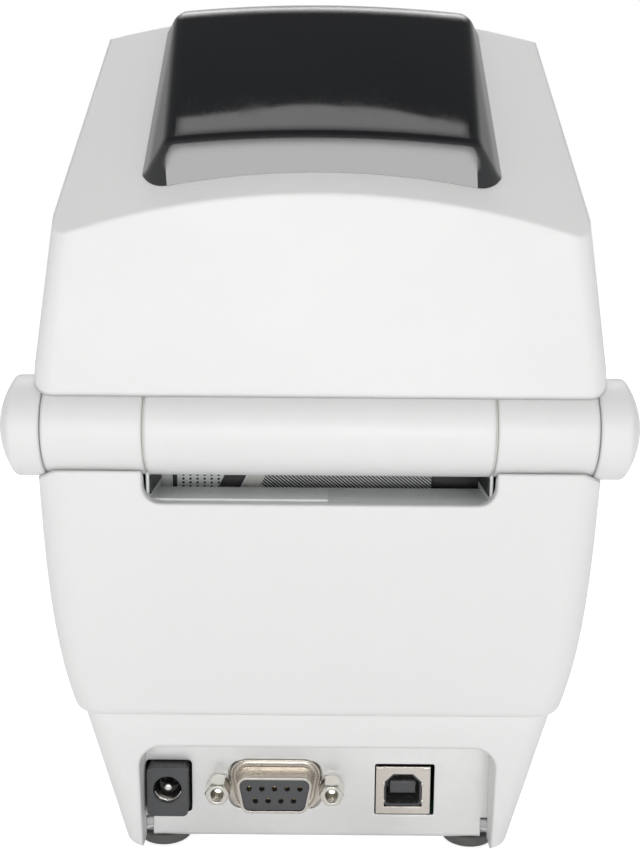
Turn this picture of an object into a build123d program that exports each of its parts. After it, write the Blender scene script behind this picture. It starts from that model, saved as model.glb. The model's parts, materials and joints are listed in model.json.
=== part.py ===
from build123d import *
import math
import os

os.makedirs("parts", exist_ok=True)

# Desktop thermal transfer label printer. Millimetres. The origin is under the middle of the
# printer, X runs to the right of someone who faces its front, Y runs to its back and Z up.

# Overall sizes
depth = 215.0
body_half = 55.2
rear_y = depth / 2
front_y = -depth / 2
wall = 2.5
seat_gap = 0.1
run_gap = 0.05
loose_gap = 0.3

# Heights
foot_height = 2.5
pan_thickness = 1.2
pan_z = foot_height
pan_top_z = pan_z + pan_thickness
plinth_z = 3.0
shell_floor_z = 37.0
floor_top_z = shell_floor_z + wall
seam_z = 97.0
seam_gap = 0.3
rear_lip_z = seam_z - 6.0

# Lower shell: its sides bulge and its front and back lean out towards the seam
shell_rear_y = rear_y - 1.5
shell_lean = 10.5
shell_taper = 4.4
shell_corner = 7.0
shell_foot_r = 2.4

# Plinth under the lower shell
plinth_low_half = body_half - 13.2
plinth_high_half = body_half - 5.0
plinth_low_rear_y = rear_y - 20.0
plinth_high_rear_y = rear_y - 15.5
plinth_low_front_y = front_y + 21.5
plinth_high_front_y = front_y + 13.5
plinth_corner = 6.0
plinth_foot_r = 1.2
rim_width = 4.0
rim_height = 2.0

# Connector recess at the back of the plinth
panel_y = rear_y - 26.0
recess_half = plinth_low_half - 4.0
recess_top_z = 28.4
recess_corner = 5.0
recess_wall = 2.2
flange_half = recess_half + 0.5
flange_top_z = recess_top_z + 3.6
bend_radius = 1.1
notch_width = 2.0
notch_height = 5.0

# Sockets
jack_x, jack_low_z, jack_width, jack_height = recess_half - 5.1, 8.9, 9.0, 11.4
jack_reach, jack_corner_r = 3.0, 1.2
jack_bore_r, jack_bore_z, jack_pin_r = 3.15, jack_low_z + 6.2, 1.0
jack_bore_depth = 9.5
jack_length = 21.0
serial_x, serial_z = jack_x - 23.6, 15.0
serial_shell_width, serial_shell_height, serial_slant = 16.9, 8.3, 1.45
serial_reach = 5.0
serial_window_width, serial_window_height = 20.8, 11.4
serial_flange_width, serial_flange_height = 30.8, 12.5
serial_pitch, serial_row_gap, serial_hole_r = 2.77, 2.84, 0.6
flange_thickness = 0.9
shell_thickness = 0.5
screw_spacing = 24.99
screw_shank_r = 1.5
jackscrew_flats, jackscrew_length, jackscrew_hole_r = 4.8, 5.1, 1.42
usb_x, usb_low_z, usb_width, usb_height = serial_x - 28.4, 8.2, 12.04, 11.2
usb_mouth_width, usb_mouth_height, usb_mouth_chamfer = 8.45, 7.78, 2.0
usb_tongue_width, usb_tongue_height = 5.6, 3.1
usb_length, usb_depth = 16.0, 9.0

# Screws that hold the pan, and the bosses they go into
boss_r, boss_hole_r = 3.6, 1.25
boss_x = plinth_low_half - 10.5
boss_front_y = plinth_low_front_y + 26.0
boss_rear_y = boss_front_y + 32.0
boss_places = [(x, y) for y in (boss_front_y, boss_rear_y) for x in (-boss_x, boss_x)]
pan_screw_head_r, pan_screw_head_height, pan_screw_length = 2.7, 1.4, 12.0
foot_r = 6.0
foot_x = plinth_low_half - 7.5
foot_rear_y = plinth_low_rear_y - 12.0
foot_front_y = plinth_low_front_y + 10.5
foot_places = [(x, y) for y in (foot_front_y, foot_rear_y) for x in (-foot_x, foot_x)]

# Main board
board_top_z = pan_top_z + 4.3
board_thickness = 1.6
board_half = recess_half - 0.8
board_front_y = boss_rear_y + 8.0
board_rear_y = panel_y - 1.7
standoff_r = 2.5
standoff_x = board_half - 4.2
standoff_hole_r = 1.3

# Hinge across the back
cap_r = 9.9
barrel_r = 9.5
cap_proud = 6.8
cap_dome = 3.4
cap_reach = body_half + cap_proud
hinge_y = rear_y - cap_r
hinge_z = seam_z + 1.6
hinge_pin_r = 3.0
pin_press_gap = 0.02
barrel_half = 33.1
knuckle_in_x = barrel_half + 0.4
knuckle_out_x = body_half - wall - 0.2
knuckle_arm_width = 7.0
knuckle_arm_low_z = seam_z - 23.0
cap_in_x = knuckle_out_x + 0.2
cap_rim_x = cap_reach - cap_dome
pin_in_x = barrel_half - 12.1
pin_out_x = cap_reach - 2.0
seat_r = cap_r + loose_gap
cover_relief_r = cap_r + 0.4

# Slot for fan-fold labels, under the hinge barrel
slot_half = 34.0
slot_low_z = rear_lip_z - 6.6
slot_corner = 3.5

# Cover: drafted sides under an arched top, which climbs from the back to a crest
cover_low_z = seam_z + seam_gap
cover_half = body_half
knee_z = seam_z + 14.0
knee_half = cover_half - 0.9
side_draft = 0.158
cover_rear_y = rear_y - 2.2
cover_rear_z = seam_z + 37.5
crest_y = rear_y - 37.0
crest_z = seam_z + 78.2
cover_front_end_y = front_y + 0.7
cover_corner = 8.0
cover_rear_corner = 4.0
cover_length = crest_y - cover_front_end_y
# Each station is a place along Y, the height of the top's corners, the rise of its arch,
# and how far the wall's thickness moves the station along Y
rear_stations = [
    (cover_rear_y, cover_rear_z, 8.6, -1.0),
    (crest_y, crest_z, 5.5, -0.45),
]
front_stations = [
    (crest_y, crest_z, 5.5, -0.45),
    (crest_y - 0.228 * cover_length, crest_z - 0.2, 5.5, 0.0),
    (crest_y - 0.454 * cover_length, crest_z - 3.7, 5.8, 0.0),
    (crest_y - 0.680 * cover_length, crest_z - 14.7, 6.5, 0.2),
    (crest_y - 0.849 * cover_length, crest_z - 30.7, 7.5, 0.4),
    (crest_y - 0.950 * cover_length, crest_z - 48.2, 8.0, 0.8),
    (cover_front_end_y, crest_z - 62.2, 7.0, 1.0),
]
exit_half = 35.0
exit_low_z = seam_z - 3.0
exit_high_z = seam_z + 5.4

# Window strip over the top of the cover
window_wall = 2.2
window_rise = 1.5
window_flare = 0.55
window_skirt = 14.0
window_edge_r = 2.0
window_corner_r = 6.0
window_shoulder_r = 3.0
window_rear_y = rear_y - 5.7
window_rear_z = cover_rear_z + 18.1
window_bend_y = rear_y - 35.5
window_bend_z = crest_z + 4.8
window_half = 30.0
window_rear_half = window_half - 1.3
window_skirt_half = window_half + 4.6
window_front_y = front_y + 45.5
window_front_z = crest_z - 12.2
window_length = window_bend_y - window_front_y
window_rear_stations = [
    (window_rear_y, window_rear_z, window_rear_half, -1.0),
    (window_bend_y, window_bend_z, window_half, -0.45),
]
window_front_stations = [
    (window_bend_y, window_bend_z, window_half, -0.45),
    (window_bend_y - 0.052 * window_length, crest_z + 6.6, window_half, -0.1),
    (window_bend_y - 0.164 * window_length, crest_z + 6.8, window_half, 0.0),
    (window_bend_y - 0.463 * window_length, crest_z + 5.0, window_half, 0.0),
    (window_bend_y - 0.761 * window_length, crest_z - 1.2, window_half, 0.2),
    (window_front_y, window_front_z, window_half, 1.0),
]
window_hole_half = window_rear_half - 0.2
window_hole_rear_y = window_rear_y - 5.8
window_hole_front_y = window_front_y + 5.0

# Print mechanism at the front
platen_y, platen_z = front_y + 19.5, seam_z - 6.0
platen_r, platen_half, shaft_r = 7.0, 31.5, 3.0
chassis_in_x = body_half - 15.2
chassis_thickness = 2.0
chassis_out_x = chassis_in_x + chassis_thickness
chassis_front_y = platen_y - 10.0
chassis_foot_y = platen_y - 5.0
chassis_rear_y = platen_y + 46.0
chassis_top_z = seam_z - 1.0
bushing_r, bushing_flange_r = 5.0, 6.5
tooth_module = 0.8
platen_teeth, idler_teeth, pinion_teeth = 20, 32, 12
idler_angle = math.radians(-37.0)
pinion_angle = math.radians(-53.0)
gear_in_x = chassis_out_x + 2.3
gear_width = 3.7
gear_out_x = gear_in_x + gear_width
idler_axle_r = 2.0
motor_r, motor_length, motor_boss_r, rotor_r = 17.5, 22.0, 7.0, 1.5
guide_length, guide_fall, guide_thickness = 23.2, 7.0, 2.0
guide_front_y = platen_y + platen_r + 0.8
guide_top_z = platen_z + 3.6

# Latch: hooks on a cross shaft, with thumb tabs through the sides
latch_y, latch_z = platen_y - 5.5, seam_z - 34.5
latch_shaft_r = 2.5
latch_in_x = body_half - 6.2
latch_out_x = latch_in_x + 1.6
latch_tab_x = body_half + 2.4
latch_top_z = seam_z + 7.8
latch_width = 3.0
catch_y, catch_z, catch_r = latch_y + 2.5, seam_z + 4.0, 1.8
tab_low_z, tab_high_z = seam_z - 8.5, seam_z - 3.5
tab_front_y, tab_rear_y = latch_y - 4.5, latch_y + 1.5
tab_travel = 4.0

# Ribbon carriage, spindles and print head under the cover
carriage_in_x, carriage_out_x = 34.2, 36.7
supply_y, supply_z = platen_y + 50.0, seam_z + 42.0
takeup_y, takeup_z = platen_y + 16.0, seam_z + 25.0
spindle_core_r, spindle_rib_height, spindle_half = 5.5, 1.3, carriage_in_x - loose_gap
takeup_teeth, takeup_gear_width = 24, 4.0
post_r = 4.0
post_places = [(supply_y + 12.0, supply_z + 9.0), (takeup_y - 6.0, takeup_z + 13.5)]
tie_thickness = 2.5
head_pivot_y, head_pivot_z = platen_y + 24.0, platen_z + 19.0
head_half = carriage_in_x - 3.2
head_front_y, head_rear_y = platen_y - 9.0, platen_y + 12.0
head_pivot_r = 2.0
bracket_thickness = 2.5
ceramic_low_z = platen_z + platen_r + 0.25
ceramic_thickness, ceramic_width = 1.6, 14.0
heatsink_height = 5.0
fin_pitch, fin_gap = 4.0, 1.6

# Roll holders, which slide together on a rail across the floor
roll_y, roll_z = 40.0, floor_top_z + 58.5
holder_in_x, holder_thickness = 31.0, 3.0
hub_r, hub_reach, hub_chamfer = 8.0, 5.0, 1.5
rail_half, rail_width, rail_height = body_half - 13.2, 26.0, 3.4
rack_low_z = floor_top_z + rail_height + seat_gap
rack_height = 3.0
rail_stud_r = 1.8
holder_teeth = 16

# Feed button and status light on the front
button_x, button_z, button_r = -24.0, seam_z - 21.0, 5.7
button_reach, switch_depth = 1.9, 2.6
light_x, light_r, light_reach = -10.0, 2.4, 0.5
front_board_y = front_y + 11.9
front_board_thickness = 1.2
front_board_width, front_board_height = 30.0, 18.0


def at_x(x):
    """A plane across the printer's width: its own axes are Y and Z."""
    return Plane.YZ.offset(x)


def at_y(y):
    """A plane seen from the front: its own axes are X and Z, and it extrudes forwards."""
    return Plane.XZ.offset(-y)


def at_z(z):
    return Plane.XY.offset(z)


def along_x(x, y, z):
    """A place whose own Z lies along X."""
    return Location((x, y, z), (0, 90, 0))


def along_y(x, y, z):
    """A place whose own Z lies along Y."""
    return Location((x, y, z), (-90, 0, 0))


def finish(part, label):
    part.label = label
    export_step(part, "parts/" + label + ".step")


def shell_lean_at(z):
    return shell_lean * (seam_z - z) / (seam_z - shell_floor_z)


def shell_half_at(z):
    return body_half - shell_taper * ((seam_z - z) / (seam_z - shell_floor_z)) ** 4


def shell_plan(z, inset):
    """The lower shell's outline at height z, moved inwards by inset."""
    back = shell_rear_y - shell_lean_at(z) - inset
    front = front_y + shell_lean_at(z) + inset
    with BuildSketch(at_z(z)) as plan:
        with Locations((0, (back + front) / 2)):
            RectangleRounded(2 * (shell_half_at(z) - inset), back - front, shell_corner - inset)
    return plan.sketch


def shell_form(inset, low_z, high_z):
    steps = 5
    heights = [low_z + (high_z - low_z) * i / steps for i in range(steps + 1)]
    with BuildPart() as form:
        loft([shell_plan(z, inset) for z in heights])
    return form.part


def plinth_form(inset, low_z, high_z):
    """The plinth's tapered block between two heights, moved inwards by inset."""
    outlines = []
    for z in (low_z, high_z):
        share = (z - plinth_z) / (shell_floor_z - plinth_z)
        half = plinth_low_half + (plinth_high_half - plinth_low_half) * share - inset
        back = plinth_low_rear_y + (plinth_high_rear_y - plinth_low_rear_y) * share - inset
        front = plinth_low_front_y + (plinth_high_front_y - plinth_low_front_y) * share + inset
        with BuildSketch(at_z(z)) as plan:
            with Locations((0, (back + front) / 2)):
                RectangleRounded(2 * half, back - front, max(plinth_corner - inset, 1.0))
        outlines.append(plan.sketch)
    with BuildPart() as form:
        loft(outlines, ruled=True)
    return form.part


def cover_half_at(z):
    """Half the cover's width at height z: upright below its knee, drafted above it."""
    if z < knee_z:
        return knee_half + (cover_half - knee_half) * (knee_z - z) / (knee_z - cover_low_z)
    return knee_half - side_draft * (z - knee_z)


def cover_section(station, inset):
    """One cross-section of the cover's form, moved inwards by inset."""
    y, top_z, rise, shift = station
    low = cover_low_z - (2.0 if inset > 0 else 0.0)
    high = top_z - inset
    top_half = cover_half_at(top_z) - inset
    knee = knee_half - inset
    low_half = cover_half_at(low) - inset
    with BuildSketch(at_y(y + shift * inset)) as section:
        with BuildLine():
            Polyline(
                (-top_half, high),
                (-knee, knee_z),
                (-low_half, low),
                (low_half, low),
                (knee, knee_z),
                (top_half, high),
            )
            ThreePointArc((top_half, high), (0, high + rise), (-top_half, high))
        make_face()
    return section.sketch


def cover_form(inset):
    with BuildPart() as form:
        loft([cover_section(s, inset) for s in rear_stations], ruled=True)
        loft([cover_section(s, inset) for s in front_stations])
        # The two front corners are round in plan
        plan_front_y = cover_front_end_y + inset
        plan_rear_y = rear_y + depth / 4
        with BuildSketch(at_z(cover_low_z - 2 * wall)):
            with Locations((0, (plan_front_y + plan_rear_y) / 2)):
                plan_width = 2 * (cover_half + seat_gap * 2 - inset)
                RectangleRounded(plan_width, plan_rear_y - plan_front_y, cover_corner - inset)
        extrude(amount=depth, mode=Mode.INTERSECT)
    return form.part


def window_section(station, inset):
    y, top_z, top_half, shift = station
    high = top_z - inset
    half = top_half - inset
    low = high - window_skirt
    low_half = half + window_flare * window_skirt
    with BuildSketch(at_y(y + shift * inset)) as section:
        with BuildLine():
            Polyline((-half, high), (-low_half, low), (low_half, low), (half, high))
            ThreePointArc((half, high), (0, high + window_rise), (-half, high))
        make_face()
        shoulders = section.vertices().group_by(Axis.Z)[-1]
        fillet(shoulders, window_shoulder_r - inset / 2)
    return section.sketch


def window_form(inset):
    with BuildPart() as form:
        loft([window_section(s, inset) for s in window_rear_stations], ruled=True)
        loft([window_section(s, inset) for s in window_front_stations])
        # The corners of the strip are round in plan, where its skirt flares out
        plan_rear_y = window_rear_y - inset
        plan_front_y = window_front_y + inset
        with BuildSketch(at_z(window_front_z - 2 * window_skirt)):
            with Locations((0, (plan_front_y + plan_rear_y) / 2)):
                plan_width = 2 * (window_skirt_half - inset)
                RectangleRounded(plan_width, plan_rear_y - plan_front_y, window_corner_r - inset)
        extrude(amount=depth, mode=Mode.INTERSECT)
    return form.part


def pitch_r(teeth):
    return tooth_module * teeth / 2


def gear_outline(teeth, turn):
    """Points of a spur gear's outline. A tooth's middle lies at the angle turn."""
    step = 2 * math.pi / teeth
    tip_r = pitch_r(teeth) + 0.8 * tooth_module
    root_r = pitch_r(teeth) - 1.1 * tooth_module
    shape = ((-0.31, root_r), (-0.1, tip_r), (0.1, tip_r), (0.31, root_r))
    points = []
    for i in range(teeth):
        for share, r in shape:
            angle = turn + (i + share) * step
            points.append((r * math.cos(angle), r * math.sin(angle)))
    return points


def gear(teeth, turn, bore_r, thickness, hub_r):
    """A spur gear on its own Z, from 0 up to its thickness."""
    with BuildPart() as wheel:
        with BuildSketch():
            Polygon(*gear_outline(teeth, turn), align=None)
            Circle(bore_r, mode=Mode.SUBTRACT)
        extrude(amount=thickness)
        with BuildSketch(at_z(thickness)):
            Circle(hub_r)
            Circle(bore_r, mode=Mode.SUBTRACT)
        extrude(amount=0.5)
    return wheel.part


# Bottom pan and connector panel, one bent sheet
with BuildPart() as bottom_pan:
    pan_half = plinth_low_half - wall - loose_gap
    pan_front_y = plinth_low_front_y + wall + loose_gap
    with BuildSketch(at_z(pan_z)):
        with Locations((0, (panel_y + pan_front_y) / 2)):
            Rectangle(2 * pan_half, panel_y - pan_front_y)
    extrude(amount=pan_thickness)
    front_corners = bottom_pan.edges().filter_by(Axis.Z).group_by(Axis.Y)[0]
    fillet(front_corners, plinth_corner - wall)
    with BuildSketch(at_y(panel_y)):
        with Locations((0, (flange_top_z + pan_z) / 2)):
            Rectangle(2 * flange_half, flange_top_z - pan_z)
    extrude(amount=pan_thickness)
    bend = bottom_pan.edges().filter_by(Axis.X).group_by(Axis.Z)[0].sort_by(Axis.Y)[-1]
    fillet(bend, bend_radius)
    with BuildSketch(at_y(panel_y)):
        with Locations((-pan_half, pan_z), (pan_half, pan_z)):
            Rectangle(2 * (pan_half - flange_half + notch_width), 2 * notch_height)
    extrude(amount=2 * pan_thickness, mode=Mode.SUBTRACT)
    with BuildSketch(at_y(panel_y)):
        with Locations((jack_x, jack_low_z + jack_height / 2)):
            RectangleRounded(jack_width + 4 * loose_gap, jack_height + 3 * loose_gap, 1.0)
        with Locations((serial_x, serial_z)):
            RectangleRounded(serial_window_width, serial_window_height, 2.8)
            with Locations((-screw_spacing / 2, 0), (screw_spacing / 2, 0)):
                Circle(screw_shank_r + seat_gap)
        with Locations((usb_x - loose_gap, usb_low_z + usb_height / 2 + loose_gap)):
            RectangleRounded(usb_width + 4 * loose_gap, usb_height + 3 * loose_gap, 0.5)
    extrude(amount=pan_thickness, mode=Mode.SUBTRACT)
    with BuildSketch(at_z(pan_z)):
        with Locations(*boss_places):
            Circle(boss_hole_r + 0.45)
    extrude(amount=pan_thickness, mode=Mode.SUBTRACT)
finish(bottom_pan.part, "bottom_pan")

# Rubber feet under the pan
with BuildPart() as rubber_feet:
    with BuildSketch(at_z(0)):
        with Locations(*foot_places):
            Circle(foot_r)
    extrude(amount=foot_height)
    fillet(rubber_feet.edges().filter_by(GeomType.CIRCLE).group_by(Axis.Z)[0], 0.6)
finish(rubber_feet.part, "rubber_feet")

# Screws up through the pan
with BuildPart() as pan_screws:
    with BuildSketch(at_z(pan_z)):
        with Locations(*boss_places):
            Circle(pan_screw_head_r)
    extrude(amount=-pan_screw_head_height)
    with BuildSketch(at_z(pan_z)):
        with Locations(*boss_places):
            Circle(boss_hole_r)
    extrude(amount=pan_screw_length)
    with BuildSketch(at_z(pan_z - pan_screw_head_height)):
        with Locations(*boss_places):
            Rectangle(3.2, 0.7)
            Rectangle(0.7, 3.2)
    extrude(amount=0.8, mode=Mode.SUBTRACT)
finish(pan_screws.part, "pan_screws")

# Plinth, with the recess that the sockets stand in
with BuildPart() as plinth_block:
    add(plinth_form(0, plinth_z, shell_floor_z))
    fillet(plinth_block.edges().group_by(Axis.Z)[0], plinth_foot_r)
plinth_outer = plinth_block.part
rim_z = pan_top_z + 2 * seat_gap
with BuildPart() as recess_block:
    with BuildSketch(at_y(rear_y)):
        outer_half = recess_half + recess_wall
        outer_top = recess_top_z + recess_wall
        with Locations((0, (outer_top + plinth_z) / 2)):
            Rectangle(2 * outer_half, outer_top - plinth_z)
    extrude(amount=rear_y - panel_y - seat_gap)
    add(plinth_outer, mode=Mode.INTERSECT)
with BuildPart() as base_tray:
    add(plinth_outer)
    add(plinth_form(wall, plinth_z, rim_z), mode=Mode.SUBTRACT)
    add(plinth_form(wall + rim_width, rim_z, rim_z + rim_height), mode=Mode.SUBTRACT)
    add(plinth_form(wall, rim_z + rim_height, shell_floor_z), mode=Mode.SUBTRACT)
    add(recess_block.part)
    with BuildSketch(at_y(rear_y)):
        with Locations((0, 0)):
            RectangleRounded(2 * recess_half, 2 * recess_top_z, recess_corner)
    extrude(amount=rear_y - panel_y - seat_gap, mode=Mode.SUBTRACT)
    with BuildSketch(at_y(panel_y + seat_gap)):
        Rectangle(2 * (flange_half + loose_gap), 2 * (flange_top_z + loose_gap))
    extrude(amount=pan_thickness + 3 * loose_gap, mode=Mode.SUBTRACT)
finish(base_tray.part, "base_tray")

# Lower shell: a tub with the slot, the hinge seat, bosses and the label exit
with BuildPart() as lower_shell:
    add(shell_form(0, shell_floor_z, seam_z))
    base_edges = lower_shell.edges().group_by(Axis.Z)[0]
    fillet(base_edges, shell_foot_r)
    add(shell_form(wall, floor_top_z, seam_z + wall), mode=Mode.SUBTRACT)
    with BuildSketch(at_x(-body_half - 1)):
        with Locations((hinge_y, hinge_z)):
            Circle(seat_r)
        with Locations((hinge_y + depth / 2, rear_lip_z + depth / 2)):
            Rectangle(depth, depth)
    extrude(amount=2 * body_half + 2, mode=Mode.SUBTRACT)
    with BuildSketch(at_y(rear_y)):
        with Locations((0, hinge_z)):
            RectangleRounded(2 * slot_half, 2 * (hinge_z - slot_low_z), slot_corner)
    extrude(amount=rear_y - hinge_y + wall, mode=Mode.SUBTRACT)
    with BuildSketch(at_y(front_y + 2 * wall)):
        with Locations((0, exit_low_z + wall)):
            Rectangle(2 * exit_half, 2 * wall)
    extrude(amount=3 * wall, mode=Mode.SUBTRACT)
    with BuildSketch(at_y(front_y + shell_lean)):
        with Locations((button_x, button_z)):
            Circle(button_r + loose_gap)
        with Locations((light_x, button_z)):
            Circle(light_r + seat_gap / 2)
    extrude(amount=shell_lean, mode=Mode.SUBTRACT)
    with BuildSketch(at_x(-body_half - 1)):
        with Locations(((tab_front_y + tab_rear_y - tab_travel) / 2, (tab_low_z + tab_high_z) / 2)):
            tab_slot_length = tab_rear_y - tab_front_y + tab_travel + 2 * loose_gap
            RectangleRounded(tab_slot_length, tab_high_z - tab_low_z + 4 * loose_gap, 1.0)
    extrude(amount=2 * body_half + 2, mode=Mode.SUBTRACT)
    with BuildSketch(at_z(rim_z)):
        with Locations(*boss_places):
            Circle(boss_r)
    extrude(amount=shell_floor_z - rim_z + wall / 2)
    with BuildSketch(at_z(rim_z)):
        with Locations(*boss_places):
            Circle(boss_hole_r + seat_gap / 2)
    extrude(amount=pan_screw_length + 2.0, mode=Mode.SUBTRACT)
finish(lower_shell.part, "lower_shell")

# Cover: the skin, its opening for the window, the label exit and the hinge relief
cover_outer = cover_form(0)
with BuildPart() as top_cover:
    add(cover_outer)
    rear_face = top_cover.faces().filter_by(Axis.Y).sort_by(Axis.Y)[-1]
    corner_edges = rear_face.edges().filter_by(GeomType.LINE).filter_by(Axis.X, reverse=True)
    fillet(corner_edges, cover_rear_corner)
    add(cover_form(wall), mode=Mode.SUBTRACT)
    with BuildSketch(at_z(cover_rear_z)):
        with Locations((0, (window_hole_rear_y + window_hole_front_y) / 2)):
            hole_length = window_hole_rear_y - window_hole_front_y
            RectangleRounded(2 * window_hole_half, hole_length, 5.0)
    extrude(amount=depth / 2, mode=Mode.SUBTRACT)
    with BuildSketch(at_x(-body_half - 1)):
        with Locations((hinge_y, hinge_z)):
            Circle(cover_relief_r)
    extrude(amount=2 * body_half + 2, mode=Mode.SUBTRACT)
    with BuildSketch(at_y(front_y + 3 * wall)):
        with Locations((0, 0)):
            RectangleRounded(2 * exit_half, 2 * exit_high_z, 1.5)
    extrude(amount=4 * wall, mode=Mode.SUBTRACT)
finish(top_cover.part, "top_cover")

# Window strip, a smoked shell that sits on the cover around its opening
with BuildPart() as window:
    add(window_form(0))
    window_rear = window.faces().filter_by(Axis.Y).sort_by(Axis.Y)[-1]
    fillet(window_rear.edges().sort_by(Axis.Z)[-1], window_edge_r)
    add(window_form(window_wall), mode=Mode.SUBTRACT)
    add(cover_form(-seat_gap), mode=Mode.SUBTRACT)
window_solid = window.part.solids().sort_by(SortBy.VOLUME)[-1]
finish(Part() + window_solid, "window")

# Hinge barrel on the cover, with the web that carries the cover's back wall
with BuildPart() as hinge_barrel:
    with BuildSketch(at_x(-barrel_half)):
        with Locations((hinge_y, hinge_z)):
            Circle(barrel_r)
    extrude(amount=2 * barrel_half)
    web_rear_y = cover_rear_y - wall - seat_gap
    with BuildSketch(at_x(-barrel_half + 5)):
        with Locations((web_rear_y - wall / 2, hinge_z + barrel_r)):
            Rectangle(wall, 2 * barrel_r)
    extrude(amount=2 * barrel_half - 10)
    pin_depth = barrel_half - pin_in_x + 1
    with Locations(along_x(barrel_half - pin_depth / 2, hinge_y, hinge_z)):
        Cylinder(hinge_pin_r + run_gap, pin_depth, mode=Mode.SUBTRACT)
    with Locations(along_x(-barrel_half + pin_depth / 2, hinge_y, hinge_z)):
        Cylinder(hinge_pin_r + run_gap, pin_depth, mode=Mode.SUBTRACT)
finish(hinge_barrel.part, "hinge_barrel")


def knuckle(side):
    """The fixed barrel at one end of the hinge, with its arm against the shell's side."""
    width = knuckle_out_x - knuckle_in_x
    middle = side * (knuckle_in_x + knuckle_out_x) / 2
    arm_front_y = hinge_y - barrel_r - 1.5
    arm_rear_y = hinge_y - 4.0
    arm_height = hinge_z - knuckle_arm_low_z
    with BuildPart() as piece:
        with Locations(along_x(middle, hinge_y, hinge_z)):
            Cylinder(barrel_r, width)
        arm_middle_x = side * (knuckle_out_x - knuckle_arm_width / 2)
        arm_middle_y = (arm_front_y + arm_rear_y) / 2
        with Locations((arm_middle_x, arm_middle_y, hinge_z - arm_height / 2)):
            Box(knuckle_arm_width, arm_rear_y - arm_front_y, arm_height)
        with Locations(along_x(middle, hinge_y, hinge_z)):
            Cylinder(hinge_pin_r + pin_press_gap, width, mode=Mode.SUBTRACT)
    return piece.part


def hinge_cap(side):
    """The domed cap over one end of the hinge."""
    with BuildPart() as piece:
        with BuildSketch(Plane.XZ.offset(-hinge_y)):
            with BuildLine():
                Polyline(
                    (cap_reach, hinge_z),
                    (cap_in_x, hinge_z),
                    (cap_in_x, hinge_z + cap_r),
                    (cap_rim_x, hinge_z + cap_r),
                )
                ThreePointArc(
                    (cap_rim_x, hinge_z + cap_r),
                    (cap_rim_x + 0.76 * (cap_reach - cap_rim_x), hinge_z + 0.5 * cap_r),
                    (cap_reach, hinge_z),
                )
            make_face()
        revolve(axis=Axis((0, hinge_y, hinge_z), (1, 0, 0)))
        rings = piece.edges().filter_by(GeomType.CIRCLE).filter_by(lambda e: e.is_closed)
        fillet(rings.sort_by(Axis.X)[-1], 0.8)
        with Locations(along_x((cap_in_x + pin_out_x) / 2, hinge_y, hinge_z)):
            Cylinder(hinge_pin_r + pin_press_gap, pin_out_x - cap_in_x + 0.2, mode=Mode.SUBTRACT)
    if side < 0:
        return piece.part.mirror(Plane.YZ)
    return piece.part


finish(knuckle(1), "hinge_knuckle_left")
finish(knuckle(-1), "hinge_knuckle_right")
finish(hinge_cap(1), "hinge_cap_left")
finish(hinge_cap(-1), "hinge_cap_right")

with BuildPart() as hinge_pins:
    for side in (-1, 1):
        with Locations(along_x(side * (pin_in_x + pin_out_x) / 2, hinge_y, hinge_z)):
            Cylinder(hinge_pin_r, pin_out_x - pin_in_x)
finish(hinge_pins.part, "hinge_pins")

# Main board, its standoffs and what is soldered to it
board_low_z = board_top_z - board_thickness
standoff_ys = (board_front_y + 8.0, board_rear_y - 19.8)
standoff_places = [(x, y) for y in standoff_ys for x in (-standoff_x, standoff_x)]
with BuildPart() as board_standoffs:
    with BuildSketch(at_z(pan_top_z)):
        with Locations(*standoff_places):
            Circle(standoff_r)
    extrude(amount=board_low_z - pan_top_z)
finish(board_standoffs.part, "board_standoffs")

with BuildPart() as main_board:
    with BuildSketch(at_z(board_low_z)):
        with Locations((0, (board_front_y + board_rear_y) / 2)):
            Rectangle(2 * board_half, board_rear_y - board_front_y)
        with Locations(*standoff_places):
            Circle(standoff_hole_r, mode=Mode.SUBTRACT)
    extrude(amount=board_thickness)
finish(main_board.part, "main_board")

# Where each chip and each can stands on the board, and how large it is
chips = [
    (0.0, board_front_y + 50.0, 20.0, 20.0, 2.4),
    (-24.0, board_front_y + 42.0, 12.0, 18.0, 1.4),
    (24.0, board_front_y + 44.0, 8.0, 14.0, 3.0),
]
cans = [
    (-26.0, board_front_y + 14.0, 5.0, 12.0),
    (-12.0, board_front_y + 14.0, 5.0, 12.0),
    (14.0, board_front_y + 12.0, 6.3, 16.0),
]
with BuildPart() as board_parts:
    for x, y, width, length, height in chips:
        with BuildSketch(at_z(board_top_z)):
            with Locations((x, y)):
                Rectangle(width, length)
        extrude(amount=height)
    for x, y, r, height in cans:
        with BuildSketch(at_z(board_top_z)):
            with Locations((x, y)):
                Circle(r)
        extrude(amount=height)
finish(board_parts.part, "board_parts")

# DC inlet
jack_front_y = panel_y + jack_reach
with BuildPart() as dc_jack_body:
    with BuildSketch(at_y(jack_front_y)):
        with Locations((jack_x, jack_low_z + jack_height / 2)):
            Rectangle(jack_width, jack_height)
    extrude(amount=jack_length)
    fillet(dc_jack_body.edges().filter_by(Axis.Y), jack_corner_r)
    with BuildSketch(at_y(panel_y - 2 * pan_thickness)):
        with Locations((jack_x, (board_top_z + jack_low_z) / 2 + 1)):
            Rectangle(jack_width, jack_low_z - board_top_z + 2)
    extrude(amount=jack_length - jack_reach - 2 * pan_thickness)
    with BuildSketch(at_y(jack_front_y)):
        with Locations((jack_x, jack_bore_z)):
            Circle(jack_bore_r)
    extrude(amount=jack_bore_depth, mode=Mode.SUBTRACT)
finish(dc_jack_body.part, "dc_jack_body")

with BuildPart() as dc_jack_pin:
    with BuildSketch(at_y(jack_front_y - 1.0)):
        with Locations((jack_x, jack_bore_z)):
            Circle(jack_pin_r)
    extrude(amount=jack_bore_depth - 1.0)
    fillet(dc_jack_pin.edges().filter_by(GeomType.CIRCLE).sort_by(Axis.Y)[-1], 0.7)
finish(dc_jack_pin.part, "dc_jack_pin")


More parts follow.
